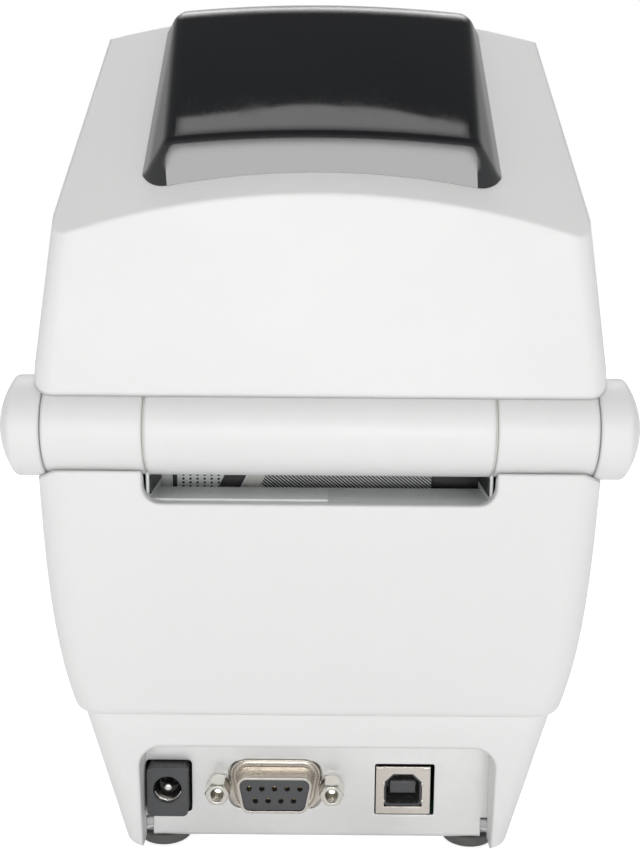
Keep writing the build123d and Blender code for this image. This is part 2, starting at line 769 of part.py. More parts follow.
def serial_outline(inset):
    """The serial socket's D shape, wider at its top."""
    half_top = serial_shell_width / 2 - inset
    half_low = half_top - serial_slant
    high = serial_shell_height / 2 - inset
    with BuildSketch() as outline:
        low_corners = [(-half_low, -high), (half_low, -high)]
        Polygon(*low_corners, (half_top, high), (-half_top, high), align=None)
        fillet(outline.vertices(), max(2.0 - inset, 0.8))
    return outline.sketch


def serial_plane(y):
    """A plane through the serial socket's middle that faces forwards."""
    return Plane(origin=(serial_x, y, serial_z), x_dir=(1, 0, 0), z_dir=(0, -1, 0))


serial_front_y = panel_y + serial_reach
flange_rear_y = panel_y - pan_thickness - seat_gap
with BuildPart() as serial_shell:
    with BuildSketch(at_y(flange_rear_y)):
        with Locations((serial_x, serial_z)):
            Rectangle(serial_flange_width, serial_flange_height)
            with Locations((-screw_spacing / 2, 0), (screw_spacing / 2, 0)):
                Circle(screw_shank_r + seat_gap, mode=Mode.SUBTRACT)
    extrude(amount=flange_thickness)
    serial_depth = serial_front_y - flange_rear_y + flange_thickness
    with BuildSketch(serial_plane(serial_front_y)):
        add(serial_outline(0))
    extrude(amount=serial_depth)
    with BuildSketch(serial_plane(serial_front_y)):
        add(serial_outline(shell_thickness))
    extrude(amount=serial_depth, mode=Mode.SUBTRACT)
finish(serial_shell.part, "serial_shell")

contact_places = [((i - 2) * serial_pitch, serial_row_gap / 2) for i in range(5)]
contact_places += [((i - 1.5) * serial_pitch, -serial_row_gap / 2) for i in range(4)]
insert_front_y = serial_front_y - 0.3
insert_rear_y = flange_rear_y - flange_thickness - seat_gap / 2
with BuildPart() as serial_insert:
    with BuildSketch(serial_plane(insert_front_y)):
        add(serial_outline(shell_thickness + run_gap))
    extrude(amount=insert_front_y - insert_rear_y + 0.01)
    with BuildSketch(at_y(insert_rear_y)):
        with Locations((serial_x, serial_z - 0.25)):
            Rectangle(serial_flange_width - 12, serial_flange_height)
    extrude(amount=11.0)
    with BuildSketch(serial_plane(insert_front_y)):
        with Locations(*contact_places):
            Circle(serial_hole_r)
    extrude(amount=8.0, mode=Mode.SUBTRACT)
finish(serial_insert.part, "serial_insert")

with BuildPart() as serial_contacts:
    with BuildSketch(serial_plane(insert_front_y).offset(0.6)):
        with Locations(*contact_places):
            Circle(serial_hole_r - run_gap / 2)
            Circle(serial_hole_r - 0.2, mode=Mode.SUBTRACT)
    extrude(amount=7.4)
finish(serial_contacts.part, "serial_contacts")

with BuildPart() as jackscrews:
    screw_places = [(-screw_spacing / 2, 0), (screw_spacing / 2, 0)]
    screw_plane = Plane(origin=(serial_x, panel_y, serial_z), x_dir=(1, 0, 0), z_dir=(0, 1, 0))
    with BuildSketch(screw_plane):
        with Locations(*screw_places):
            RegularPolygon(jackscrew_flats / 2, 6, major_radius=False)
    extrude(amount=jackscrew_length)
    with BuildSketch(screw_plane):
        with Locations(*screw_places):
            Circle(screw_shank_r)
    extrude(amount=-4.0)
    with BuildSketch(screw_plane.offset(jackscrew_length)):
        with Locations(*screw_places):
            Circle(jackscrew_hole_r)
    extrude(amount=-jackscrew_length, mode=Mode.SUBTRACT)
finish(jackscrews.part, "jackscrews")

# USB socket
usb_face_y = panel_y - seat_gap
usb_mid_z = usb_low_z + usb_height / 2
with BuildPart() as usb_shell:
    with BuildSketch(at_y(usb_face_y)):
        with Locations((usb_x, usb_mid_z)):
            Rectangle(usb_width, usb_height)
    extrude(amount=usb_length)
    mouth_low = usb_mid_z - usb_mouth_height / 2
    mouth_high = usb_mid_z + usb_mouth_height / 2
    mouth_half = usb_mouth_width / 2
    with BuildSketch(at_y(usb_face_y)):
        Polygon(
            (usb_x - mouth_half, mouth_low),
            (usb_x + mouth_half, mouth_low),
            (usb_x + mouth_half, mouth_high - usb_mouth_chamfer),
            (usb_x + mouth_half - usb_mouth_chamfer, mouth_high),
            (usb_x - mouth_half + usb_mouth_chamfer, mouth_high),
            (usb_x - mouth_half, mouth_high - usb_mouth_chamfer),
            align=None,
        )
    extrude(amount=usb_depth, mode=Mode.SUBTRACT)
finish(usb_shell.part, "usb_shell")

with BuildPart() as usb_tongue:
    with BuildSketch(at_y(usb_face_y - 1.0)):
        with Locations((usb_x, usb_mid_z + 0.3)):
            Rectangle(usb_tongue_width, usb_tongue_height)
    extrude(amount=usb_depth - 1.0)
    fillet(usb_tongue.edges().filter_by(Axis.X).group_by(Axis.Y)[-1], 0.5)
finish(usb_tongue.part, "usb_tongue")

with BuildPart() as usb_contacts:
    with BuildSketch(at_y(usb_face_y - 1.8)):
        for level in (-1, 1):
            contact_z = usb_mid_z + 0.3 + level * (usb_tongue_height / 2 + 0.12)
            with Locations((usb_x - 1.25, contact_z), (usb_x + 1.25, contact_z)):
                Rectangle(1.0, 0.2)
    extrude(amount=usb_depth - 1.8)
finish(usb_contacts.part, "usb_contacts")

# Lip that guides fan-fold labels in through the slot
def shell_inner_rear_at(z):
    return shell_rear_y - shell_lean_at(z) - wall - seat_gap


lip_half = slot_half - 0.4
lip_top_z = slot_low_z - 0.2
lip_low_z = lip_top_z - 9.0
lip_thickness = 1.6
lip_bend_y = shell_rear_y - 17.0
lip_end_y = lip_bend_y - 6.0
with BuildPart() as slot_lip:
    with BuildSketch(at_x(-lip_half)):
        with BuildLine():
            Polyline(
                (shell_inner_rear_at(lip_top_z), lip_top_z),
                (shell_inner_rear_at(lip_low_z), lip_low_z),
                (shell_inner_rear_at(lip_low_z) - lip_thickness, lip_low_z),
                (shell_inner_rear_at(lip_top_z) - 2 * lip_thickness, lip_top_z - lip_thickness),
                (lip_bend_y, lip_top_z - lip_thickness),
            )
            ThreePointArc(
                (lip_bend_y, lip_top_z - lip_thickness),
                (lip_end_y + 1.5, lip_top_z - 3.6),
                (lip_end_y, lip_low_z),
            )
            Polyline((lip_end_y, lip_low_z), (lip_end_y - lip_thickness, lip_low_z))
            ThreePointArc(
                (lip_end_y - lip_thickness, lip_low_z),
                (lip_end_y + 0.2, lip_top_z - 2.4),
                (lip_bend_y, lip_top_z),
            )
            Line((lip_bend_y, lip_top_z), (shell_inner_rear_at(lip_top_z), lip_top_z))
        make_face()
    extrude(amount=2 * lip_half)
finish(slot_lip.part, "slot_lip")

# Print chassis, which stands on the shell's floor
idler_y = platen_y + (pitch_r(platen_teeth) + pitch_r(idler_teeth)) * math.cos(idler_angle)
idler_z = platen_z + (pitch_r(platen_teeth) + pitch_r(idler_teeth)) * math.sin(idler_angle)
motor_y = idler_y + (pitch_r(idler_teeth) + pitch_r(pinion_teeth)) * math.cos(pinion_angle)
motor_z = idler_z + (pitch_r(idler_teeth) + pitch_r(pinion_teeth)) * math.sin(pinion_angle)
with BuildPart() as print_chassis:
    for side in (-1, 1):
        start_x = chassis_in_x if side > 0 else -chassis_out_x
        with BuildSketch(at_x(start_x)):
            with BuildLine():
                Polyline(
                    (chassis_foot_y, floor_top_z + seat_gap),
                    (chassis_rear_y, floor_top_z + seat_gap),
                    (chassis_rear_y, floor_top_z + 22.0),
                    (idler_y + 10.0, chassis_top_z - 8.0),
                    (platen_y + 10.0, chassis_top_z),
                    (chassis_front_y, chassis_top_z),
                    (chassis_front_y, chassis_top_z - 26.0),
                    close=True,
                )
            make_face()
            with Locations((platen_y, platen_z)):
                Circle(bushing_r + seat_gap / 2, mode=Mode.SUBTRACT)
            with Locations((latch_y, latch_z)):
                Circle(latch_shaft_r + run_gap, mode=Mode.SUBTRACT)
            with Locations((motor_y, motor_z)):
                Circle(motor_boss_r + seat_gap, mode=Mode.SUBTRACT)
        extrude(amount=chassis_thickness)
    with BuildSketch(at_x(-chassis_out_x)):
        foot_middle_y = (chassis_foot_y + chassis_rear_y) / 2 + 5.5
        with Locations((foot_middle_y, floor_top_z + seat_gap + chassis_thickness / 2)):
            Rectangle(36.0, chassis_thickness)
    extrude(amount=2 * chassis_out_x)
    with BuildSketch(at_x(-chassis_out_x)):
        guide_rear_y = guide_front_y + guide_length
        guide_low_z = guide_top_z - guide_fall
        Polygon(
            (guide_rear_y, guide_low_z - guide_thickness),
            (guide_front_y, guide_top_z - guide_thickness),
            (guide_front_y, guide_top_z),
            (guide_rear_y, guide_low_z),
            align=None,
        )
    extrude(amount=2 * chassis_out_x)
finish(print_chassis.part, "print_chassis")

with BuildPart() as platen_bushings:
    for side in (-1, 1):
        with Locations(along_x(side * (chassis_in_x + 1.1), platen_y, platen_z)):
            Cylinder(bushing_r, 2.4)
        with Locations(along_x(side * (chassis_in_x - 0.65), platen_y, platen_z)):
            Cylinder(bushing_flange_r, 1.1)
        with Locations(along_x(side * chassis_in_x, platen_y, platen_z)):
            Cylinder(shaft_r + run_gap, 8.0, mode=Mode.SUBTRACT)
finish(platen_bushings.part, "platen_bushings")

with BuildPart() as idler_axle:
    with Locations(along_x((chassis_out_x + gear_out_x + 1.2) / 2, idler_y, idler_z)):
        Cylinder(idler_axle_r, gear_out_x + 1.2 - chassis_out_x)
    with Locations(along_x(chassis_out_x + 1.0, idler_y, idler_z)):
        Cylinder(idler_axle_r + 1.5, 2.0)
finish(idler_axle.part, "idler_axle")

with BuildPart() as stepper_motor:
    with Locations(along_x(chassis_in_x - seat_gap - motor_length / 2, motor_y, motor_z)):
        Cylinder(motor_r, motor_length)
    with Locations(along_x(chassis_in_x + 0.7, motor_y, motor_z)):
        Cylinder(motor_boss_r, 1.8)
    with Locations(along_x(chassis_in_x - 5.0, motor_y, motor_z)):
        Cylinder(rotor_r + run_gap, 20.0, mode=Mode.SUBTRACT)
finish(stepper_motor.part, "stepper_motor")

# Platen roller, its gear and the gear train. The platen gear's tooth points at the idler.
platen_gear_turn = idler_angle
idler_turn = idler_angle + math.pi + math.pi / idler_teeth
pinion_step = 2 * math.pi / pinion_teeth
idler_step = 2 * math.pi / idler_teeth
idler_phase = ((pinion_angle - idler_turn) / idler_step) % 1.0
pinion_turn = pinion_angle + math.pi + (idler_phase - 0.5) * pinion_step

with BuildPart() as platen_shaft:
    shaft_left_x = gear_out_x + 0.9
    shaft_right_x = -chassis_out_x - 1.0
    with Locations(along_x((shaft_left_x + shaft_right_x) / 2, platen_y, platen_z)):
        Cylinder(shaft_r, shaft_left_x - shaft_right_x)
    chamfer(platen_shaft.edges().filter_by(GeomType.CIRCLE), 0.4)
finish(platen_shaft.part, "platen_shaft")

with BuildPart() as platen_rubber:
    with Locations(along_x(0, platen_y, platen_z)):
        Cylinder(platen_r, 2 * platen_half)
        Cylinder(shaft_r + pin_press_gap, 2 * platen_half, mode=Mode.SUBTRACT)
finish(platen_rubber.part, "platen_rubber")


def gear_at(y, z, teeth, turn, bore_r, start_x, thickness, hub_r):
    """A gear on an axle along X. Its turn is measured from Y towards Z."""
    wheel = gear(teeth, turn, bore_r, thickness, hub_r)
    return Plane(origin=(start_x, y, z), x_dir=(0, 1, 0), z_dir=(1, 0, 0)).location * wheel


platen_gear = gear_at(
    platen_y, platen_z, platen_teeth, platen_gear_turn, shaft_r + pin_press_gap, gear_in_x, gear_width, 4.6
)
finish(platen_gear, "platen_gear")
idler_gear = gear_at(
    idler_y, idler_z, idler_teeth, idler_turn, idler_axle_r + run_gap, gear_in_x, gear_width, 4.0
)
finish(idler_gear, "idler_gear")
with BuildPart() as motor_pinion:
    pinion_bore_r = rotor_r - 0.2
    add(gear_at(motor_y, motor_z, pinion_teeth, pinion_turn, pinion_bore_r, gear_in_x, gear_width, 2.6))
    rotor_in_x = chassis_in_x - 14.0
    with Locations(along_x((gear_out_x + rotor_in_x) / 2, motor_y, motor_z)):
        Cylinder(rotor_r, gear_out_x - rotor_in_x)
finish(motor_pinion.part, "motor_pinion")

# Tear bar across the label exit
tear_half = exit_half - 0.4
tear_pitch = 2.2
tear_teeth = int(2 * tear_half / tear_pitch)
tear_front_y = front_y + 0.6
with BuildPart() as tear_bar:
    with BuildSketch(at_z(exit_low_z + seat_gap)):
        teeth_start = -tear_teeth * tear_pitch / 2
        edge_points = [(teeth_start, tear_front_y + 8.0)]
        for i in range(tear_teeth):
            edge_points.append((teeth_start + i * tear_pitch, tear_front_y + 1.3))
            edge_points.append((teeth_start + (i + 0.5) * tear_pitch, tear_front_y))
        edge_points.append((-teeth_start, tear_front_y + 1.3))
        edge_points.append((-teeth_start, tear_front_y + 8.0))
        Polygon(*edge_points, align=None)
    extrude(amount=1.0)
finish(tear_bar.part, "tear_bar")

# Latch: a cross shaft with a hook and a thumb tab at each end
with BuildPart() as latch_frame:
    with Locations(along_x(0, latch_y, latch_z)):
        Cylinder(latch_shaft_r, 2 * latch_out_x)
    for side in (-1, 1):
        start_x = latch_in_x if side > 0 else -latch_out_x
        nose_y = catch_y - catch_r - 0.4
        with BuildSketch(at_x(start_x)):
            with BuildLine():
                Polyline(
                    (latch_y - latch_width, latch_z - 3.5),
                    (latch_y + latch_width, latch_z - 3.5),
                    (latch_y + latch_width, latch_z + 14.0),
                    (latch_y, catch_z - 4.0),
                    (latch_y, catch_z + catch_r + 0.6),
                    (nose_y, catch_z + catch_r + 0.6),
                    (nose_y - 1.6, latch_top_z),
                    (latch_y - latch_width, latch_top_z - 1.5),
                    close=True,
                )
            make_face()
        extrude(amount=latch_out_x - latch_in_x)
        tab_x = side * (latch_out_x + latch_tab_x) / 2 - side * 0.4
        tab_y = (tab_front_y + tab_rear_y) / 2
        with Locations((tab_x, tab_y, (tab_low_z + tab_high_z) / 2)):
            Box(latch_tab_x - latch_out_x + 0.8, tab_rear_y - tab_front_y, tab_high_z - tab_low_z)
finish(latch_frame.part, "latch_frame")

with BuildPart() as catch_pins:
    for side in (-1, 1):
        catch_end_x = cover_half_at(catch_z + catch_r) - wall - seat_gap
        with Locations(along_x(side * (latch_in_x + catch_end_x) / 2, catch_y, catch_z)):
            Cylinder(catch_r, catch_end_x - latch_in_x)
finish(catch_pins.part, "catch_pins")

# Ribbon carriage, hung from the cover's sides
with BuildPart() as ribbon_carriage:
    for side in (-1, 1):
        start_x = carriage_in_x if side > 0 else -carriage_out_x
        with BuildSketch(at_x(start_x)):
            with BuildLine():
                Polyline(
                    (head_pivot_y + 4.0, head_pivot_z - 6.0),
                    (supply_y + 16.0, supply_z - 17.0),
                    (supply_y + 18.0, supply_z + 13.0),
                    (supply_y - 7.0, supply_z + 13.0),
                    (takeup_y - 12.0, takeup_z + 12.0),
                    (takeup_y - 18.0, takeup_z - 4.0),
                    (takeup_y - 14.0, takeup_z - 14.0),
                    (head_pivot_y - 6.0, head_pivot_z - 6.0),
                    close=True,
                )
            make_face()
            with Locations((supply_y, supply_z), (takeup_y, takeup_z)):
                Circle(shaft_r + run_gap, mode=Mode.SUBTRACT)
            with Locations((head_pivot_y, head_pivot_z)):
                Circle(head_pivot_r + run_gap, mode=Mode.SUBTRACT)
        extrude(amount=carriage_out_x - carriage_in_x)
        for y, z in post_places:
            post_end_x = cover_half_at(z + post_r) - wall - 6 * seat_gap
            with Locations(along_x(side * (carriage_out_x + post_end_x) / 2, y, z)):
                Cylinder(post_r, post_end_x - carriage_out_x)
    with BuildSketch(at_x(-carriage_in_x)):
        with Locations((supply_y + 16.5, supply_z + 8.0)):
            Rectangle(tie_thickness, 10.0)
        with Locations((takeup_y - 14.5, takeup_z + 5.0)):
            Rectangle(tie_thickness, 8.0)
    extrude(amount=2 * carriage_in_x)
finish(ribbon_carriage.part, "ribbon_carriage")


def spindle(y, z, journal_end_x):
    """A ribbon spindle with three ribs and a journal in each carriage plate."""
    with BuildPart() as piece:
        with Locations(along_x(0, y, z)):
            Cylinder(spindle_core_r, 2 * spindle_half)
        with Locations(along_x((journal_end_x - carriage_out_x - 0.6) / 2, y, z)):
            Cylinder(shaft_r, journal_end_x + carriage_out_x + 0.6)
        with BuildSketch(at_x(-spindle_half + 3)):
            with Locations((y, z)):
                with PolarLocations(spindle_core_r + spindle_rib_height / 2, 3):
                    Rectangle(spindle_rib_height + 0.8, 2.0)
        extrude(amount=2 * spindle_half - 6)
        chamfer(piece.edges().filter_by(GeomType.CIRCLE).group_by(Axis.X)[-1], 0.4)
    return piece.part


takeup_gear_x = carriage_out_x + 0.3
finish(spindle(supply_y, supply_z, carriage_out_x + 0.6), "ribbon_supply_spindle")
finish(spindle(takeup_y, takeup_z, takeup_gear_x + takeup_gear_width + 0.9), "ribbon_takeup_spindle")
takeup_gear = gear_at(
    takeup_y, takeup_z, takeup_teeth, 0.0, shaft_r + pin_press_gap, takeup_gear_x, takeup_gear_width, 5.0
)
finish(takeup_gear, "takeup_gear")

# Print head: a sprung bracket on a pivot, with a heatsink and a ceramic bar under it
heatsink_low_z = ceramic_low_z + ceramic_thickness
bracket_low_z = heatsink_low_z + heatsink_height
with BuildPart() as head_bracket:
    with BuildSketch(at_x(-head_half)):
        with BuildLine():
            Polyline(
                (head_front_y, bracket_low_z),
                (head_rear_y + 2.0, bracket_low_z),
                (head_pivot_y + 3.5, head_pivot_z - 3.5),
                (head_pivot_y + 3.5, head_pivot_z + 2.5),
                (head_pivot_y - 3.0, head_pivot_z + 3.5),
                (head_rear_y, bracket_low_z + bracket_thickness),
                (head_front_y, bracket_low_z + bracket_thickness),
                close=True,
            )
        make_face()
    extrude(amount=2 * head_half)
    with Locations(along_x(0, head_pivot_y, head_pivot_z)):
        Cylinder(head_pivot_r, 2 * carriage_out_x + 1.0)
finish(head_bracket.part, "head_bracket")

with BuildPart() as head_heatsink:
    with BuildSketch(at_x(-head_half + 1)):
        with Locations(((head_front_y + head_rear_y) / 2, heatsink_low_z + heatsink_height / 2)):
            Rectangle(head_rear_y - head_front_y, heatsink_height)
    extrude(amount=2 * head_half - 2)
    fin_gaps = int((2 * head_half - 10) / fin_pitch)
    with BuildSketch(at_y(head_rear_y)):
        with Locations((0, heatsink_low_z + heatsink_height)):
            with GridLocations(fin_pitch, 1.0, fin_gaps, 1):
                Rectangle(fin_gap, heatsink_height)
    extrude(amount=8.0, mode=Mode.SUBTRACT)
finish(head_heatsink.part, "head_heatsink")

with BuildPart() as head_ceramic:
    with BuildSketch(at_x(-head_half + 1)):
        with Locations((platen_y, ceramic_low_z + ceramic_thickness / 2)):
            Rectangle(ceramic_width, ceramic_thickness)
    extrude(amount=2 * head_half - 2)
finish(head_ceramic.part, "head_ceramic")

# Roll holders, their rail and the pinion that couples them
holder_pitch = math.pi * tooth_module
holder_pitch_r = pitch_r(holder_teeth)
with BuildPart() as roll_rail:
    with BuildSketch(at_z(floor_top_z + seat_gap / 2)):
        with Locations((0, roll_y)):
            Rectangle(2 * rail_half, rail_width)
    extrude(amount=rail_height)
    with BuildSketch(at_z(floor_top_z + rail_height)):
        with Locations((0, roll_y - rail_width / 2 + 1), (0, roll_y + rail_width / 2 - 1)):
            Rectangle(2 * rail_half, 2.0)
    extrude(amount=rack_height)
    with Locations((0, roll_y, floor_top_z + rail_height)):
        Cylinder(rail_stud_r, 2 * rack_height, align=(Align.CENTER, Align.CENTER, Align.MIN))
finish(roll_rail.part, "roll_rail")


def rack_points(low_x, high_x):
    """Points of a rack that faces -Y, with its pitch line at zero and a tooth's middle at X zero."""
    first = math.ceil(low_x / holder_pitch + 0.5)
    last = math.floor(high_x / holder_pitch - 0.5)
    root = 1.1 * tooth_module
    tip = -0.8 * tooth_module
    points = [(low_x, root)]
    for i in range(first, last + 1):
        for share, y in ((-0.31, root), (-0.1, tip), (0.1, tip), (0.31, root)):
            points.append(((i + share) * holder_pitch, y))
    points.append((high_x, root))
    return points


def roll_holder():
    """The left holder: a foot and rack on the rail, an arm and a hub for the roll's core."""
    rack_depth = 2.6
    root_y = holder_pitch_r + 1.1 * tooth_module
    outer_y = root_y + rack_depth
    arm_low_z = rack_low_z + rack_height
    arm_half = hub_r + 1.0
    arm_end = (roll_y - arm_half, roll_z)
    with BuildPart() as piece:
        with BuildSketch(at_z(rack_low_z)):
            with Locations((0, roll_y + holder_pitch_r)):
                points = rack_points(-5.0, holder_in_x + holder_thickness)
                high_x = holder_in_x + holder_thickness
                back = outer_y - holder_pitch_r
                Polygon(*points, (high_x, back), (-5.0, back), align=None)
        extrude(amount=rack_height)
        with BuildSketch(at_x(holder_in_x)):
            with BuildLine():
                Polyline(
                    (roll_y + outer_y, rack_low_z),
                    (roll_y + outer_y, arm_low_z + 5.0),
                    (roll_y + arm_half, roll_z),
                )
                ThreePointArc((roll_y + arm_half, roll_z), (roll_y, roll_z + arm_half), arm_end)
                Polyline(
                    arm_end,
                    (roll_y - outer_y, arm_low_z + 5.0),
                    (roll_y - outer_y, arm_low_z + seat_gap),
                    (roll_y + root_y, arm_low_z + seat_gap),
                    (roll_y + root_y, rack_low_z),
                    (roll_y + outer_y, rack_low_z),
                )
            make_face()
        extrude(amount=holder_thickness)
        with Locations(along_x(holder_in_x - hub_reach / 2 + 0.5, roll_y, roll_z)):
            Cylinder(hub_r, hub_reach + 1.0)
        hub_edge = piece.edges().filter_by(GeomType.CIRCLE).sort_by(Axis.X)[0]
        chamfer(hub_edge, hub_chamfer)
    return piece.part


holder_left = roll_holder()
finish(holder_left, "roll_holder_left")
turn_about = Location((0, 2 * roll_y, 0), (0, 0, 180))
with BuildPart() as holder_right:
    add(turn_about * roll_holder())
finish(holder_right.part, "roll_holder_right")
with BuildPart() as holder_pinion:
    pinion_wheel = gear(holder_teeth, math.pi / holder_teeth, rail_stud_r + run_gap, rack_height - 0.5, 3.5)
    add(Location((0, roll_y, rack_low_z)) * pinion_wheel)
finish(holder_pinion.part, "holder_pinion")

# Feed button, status light and the small board behind them
shell_front_at_button = front_y + shell_lean_at(button_z)
button_rear_y = front_board_y - switch_depth
button_front_y = shell_front_at_button - button_reach
with BuildPart() as feed_button:
    with Locations(along_y(button_x, (button_front_y + button_rear_y) / 2, button_z)):
        Cylinder(button_r, button_rear_y - button_front_y)
    fillet(feed_button.edges().filter_by(GeomType.CIRCLE).sort_by(Axis.Y)[0], 0.9)
finish(feed_button.part, "feed_button")

with BuildPart() as status_light:
    light_rear_y = front_board_y - seat_gap
    light_front_y = shell_front_at_button - light_reach
    with Locations(along_y(light_x, (light_front_y + light_rear_y) / 2, button_z)):
        Cylinder(light_r, light_rear_y - light_front_y)
    fillet(status_light.edges().filter_by(GeomType.CIRCLE).sort_by(Axis.Y)[0], 1.2)
finish(status_light.part, "status_light")

with BuildPart() as button_board:
    with BuildSketch(at_y(front_board_y + front_board_thickness)):
        with Locations((button_x / 2 + light_x / 2, button_z)):
            Rectangle(front_board_width, front_board_height)
    extrude(amount=front_board_thickness)
    with Locations((button_x, front_board_y - 0.6, button_z)):
        Box(6.0, 1.2, 6.0)
    leg_y = front_board_y - 3.4
    with Locations((button_x - 7.0, leg_y, button_z - 6.0), (light_x + 7.0, leg_y, button_z + 6.0)):
        Box(3.0, 8.0, 3.0)
    add(shell_form(wall + seat_gap, floor_top_z, seam_z), mode=Mode.INTERSECT)
finish(button_board.part, "button_board")
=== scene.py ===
import json
import math

import bmesh
import bpy
from mathutils import Euler, Matrix, Vector
from mathutils.geometry import convex_hull_2d


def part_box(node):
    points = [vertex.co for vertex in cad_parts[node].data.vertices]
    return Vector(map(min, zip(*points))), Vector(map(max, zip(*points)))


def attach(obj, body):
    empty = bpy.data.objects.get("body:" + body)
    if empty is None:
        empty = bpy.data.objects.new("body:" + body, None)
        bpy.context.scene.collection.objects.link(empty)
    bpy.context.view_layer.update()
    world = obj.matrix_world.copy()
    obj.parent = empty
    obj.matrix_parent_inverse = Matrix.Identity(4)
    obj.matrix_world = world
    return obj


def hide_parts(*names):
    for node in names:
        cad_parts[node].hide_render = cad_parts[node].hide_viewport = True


# Label printer, seen from its back. Metres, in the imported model's frame: X to the right of
# someone who faces the front, Y to the back, Z up. The CAD nodes carry the shapes, and this
# script gives them their finishes and adds what is too fine for the solids.

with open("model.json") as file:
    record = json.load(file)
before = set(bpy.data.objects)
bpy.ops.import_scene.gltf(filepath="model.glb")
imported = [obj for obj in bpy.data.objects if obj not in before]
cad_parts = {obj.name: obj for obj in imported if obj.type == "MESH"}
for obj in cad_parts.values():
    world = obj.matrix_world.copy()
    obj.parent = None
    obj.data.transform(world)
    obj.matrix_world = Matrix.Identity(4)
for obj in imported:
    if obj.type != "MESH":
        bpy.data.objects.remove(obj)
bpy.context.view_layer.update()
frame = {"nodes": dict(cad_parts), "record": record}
nodes = frame["nodes"]
slot_of = {part["node"]: part["material_slot"] for part in frame["record"]["subparts"]}
MM = 0.001


class Graph:
    """A node tree with short calls: make() adds a node, give() sets or links its sockets."""

    def __init__(self, tree):
        self.tree = tree

    def give(self, sockets, values):
        """Links each named socket to another one, or sets its value."""
        for key, value in values.items():
            if isinstance(value, bpy.types.NodeSocket):
                self.tree.links.new(value, sockets[key])
            else:
                sockets[key].default_value = value

    def make(self, kind, values=None, **settings):
        node = self.tree.nodes.new(kind)
        for name, value in settings.items():
            setattr(node, name, value)
        self.give(node.inputs, values or {})
        return node

    def math(self, operation, a, b=0.0, c=0.0, clamp=False):
        node = self.make("ShaderNodeMath", {0: a, 1: b, 2: c}, operation=operation, use_clamp=clamp)
        return node.outputs[0]

    def mix(self, share, a, b):
        """A colour between a and b."""
        return self.make("ShaderNodeMix", {0: share, 6: a, 7: b}, data_type="RGBA").outputs[2]

    def mix_normals(self, share, a, b):
        return self.make("ShaderNodeMix", {0: share, 4: a, 5: b}, data_type="VECTOR").outputs[1]

    def ramp(self, value, low, high, out_low=0.0, out_high=1.0):
        """Maps low..high to out_low..out_high, smoothly and clamped."""
        values = {0: value, 1: low, 2: high, 3: out_low, 4: out_high}
        return self.make("ShaderNodeMapRange", values, interpolation_type="SMOOTHSTEP").outputs[0]

    def noise(self, vector, scale, detail, **more):
        """Soft random patches, as a number."""
        values = {"Vector": vector, "Scale": scale, "Detail": detail, **more}
        return self.make("ShaderNodeTexNoise", values).outputs["Fac"]

    def bump(self, strength, distance, height, normal):
        values = {"Strength": strength, "Distance": distance, "Height": height, "Normal": normal}
        return self.make("ShaderNodeBump", values).outputs[0]


def shader_group(name, inputs, outputs):
    """An empty shader group with named sockets, and its input and output nodes."""
    tree = bpy.data.node_groups.new(name, "ShaderNodeTree")
    for label, kind, value in inputs:
        socket = tree.interface.new_socket(label, in_out="INPUT", socket_type=kind)
        if value is not None:
            socket.default_value = value
    for label, kind in outputs:
        tree.interface.new_socket(label, in_out="OUTPUT", socket_type=kind)
    source = tree.nodes.new("NodeGroupInput")
    result = tree.nodes.new("NodeGroupOutput")
    return Graph(tree), source.outputs, result.inputs


FLOAT, VECTOR = "NodeSocketFloat", "NodeSocketVector"


def build_moulded_grain():
    """The fine sparked texture of a moulded plastic wall."""
    g, given, result = shader_group(
        "moulded_grain",
        [("Vector", VECTOR, None), ("Grain Scale", FLOAT, 2600.0)],
        [("Height", FLOAT), ("Speckle", FLOAT)],
    )
    pits = g.make("ShaderNodeTexVoronoi", {"Vector": given["Vector"], "Scale": given["Grain Scale"]})
    bumps = g.noise(given["Vector"], given["Grain Scale"], 3.0, Roughness=0.6)
    pit_share = g.math("MULTIPLY", pits.outputs["Distance"], 0.45)
    height = g.math("MULTIPLY_ADD", bumps, 0.7, pit_share)
    g.give(result, {"Height": height, "Speckle": bumps})
    return g.tree


MARKS_PER_PATCH, SPECKS_PER_PATCH = 5.3, 60.0


def build_patches():
    """Slow, soft changes across a surface: flow marks, handling and a light haze of dust."""
    g, given, result = shader_group(
        "surface_patches",
        [("Vector", VECTOR, None), ("Patch Scale", FLOAT, 14.0)],
        [("Flow", FLOAT), ("Handling", FLOAT), ("Dust", FLOAT)],
    )
    vector, scale = given["Vector"], given["Patch Scale"]
    flow = g.noise(vector, scale, 2.0, Distortion=0.4)
    marks = g.noise(vector, g.math("MULTIPLY", scale, MARKS_PER_PATCH), 5.0, Roughness=0.65)
    specks = g.noise(vector, g.math("MULTIPLY", scale, SPECKS_PER_PATCH), 2.0)
    facing = g.make("ShaderNodeSeparateXYZ", {0: g.make("ShaderNodeNewGeometry").outputs["Normal"]})
    upward = g.ramp(facing.outputs["Z"], 0.35, 0.95)
    g.give(result, {
        "Flow": g.ramp(flow, 0.3, 0.7),
        "Handling": g.ramp(marks, 0.45, 0.72),
        "Dust": g.math("MULTIPLY", upward, g.ramp(specks, 0.55, 0.75)),
    })
    return g.tree


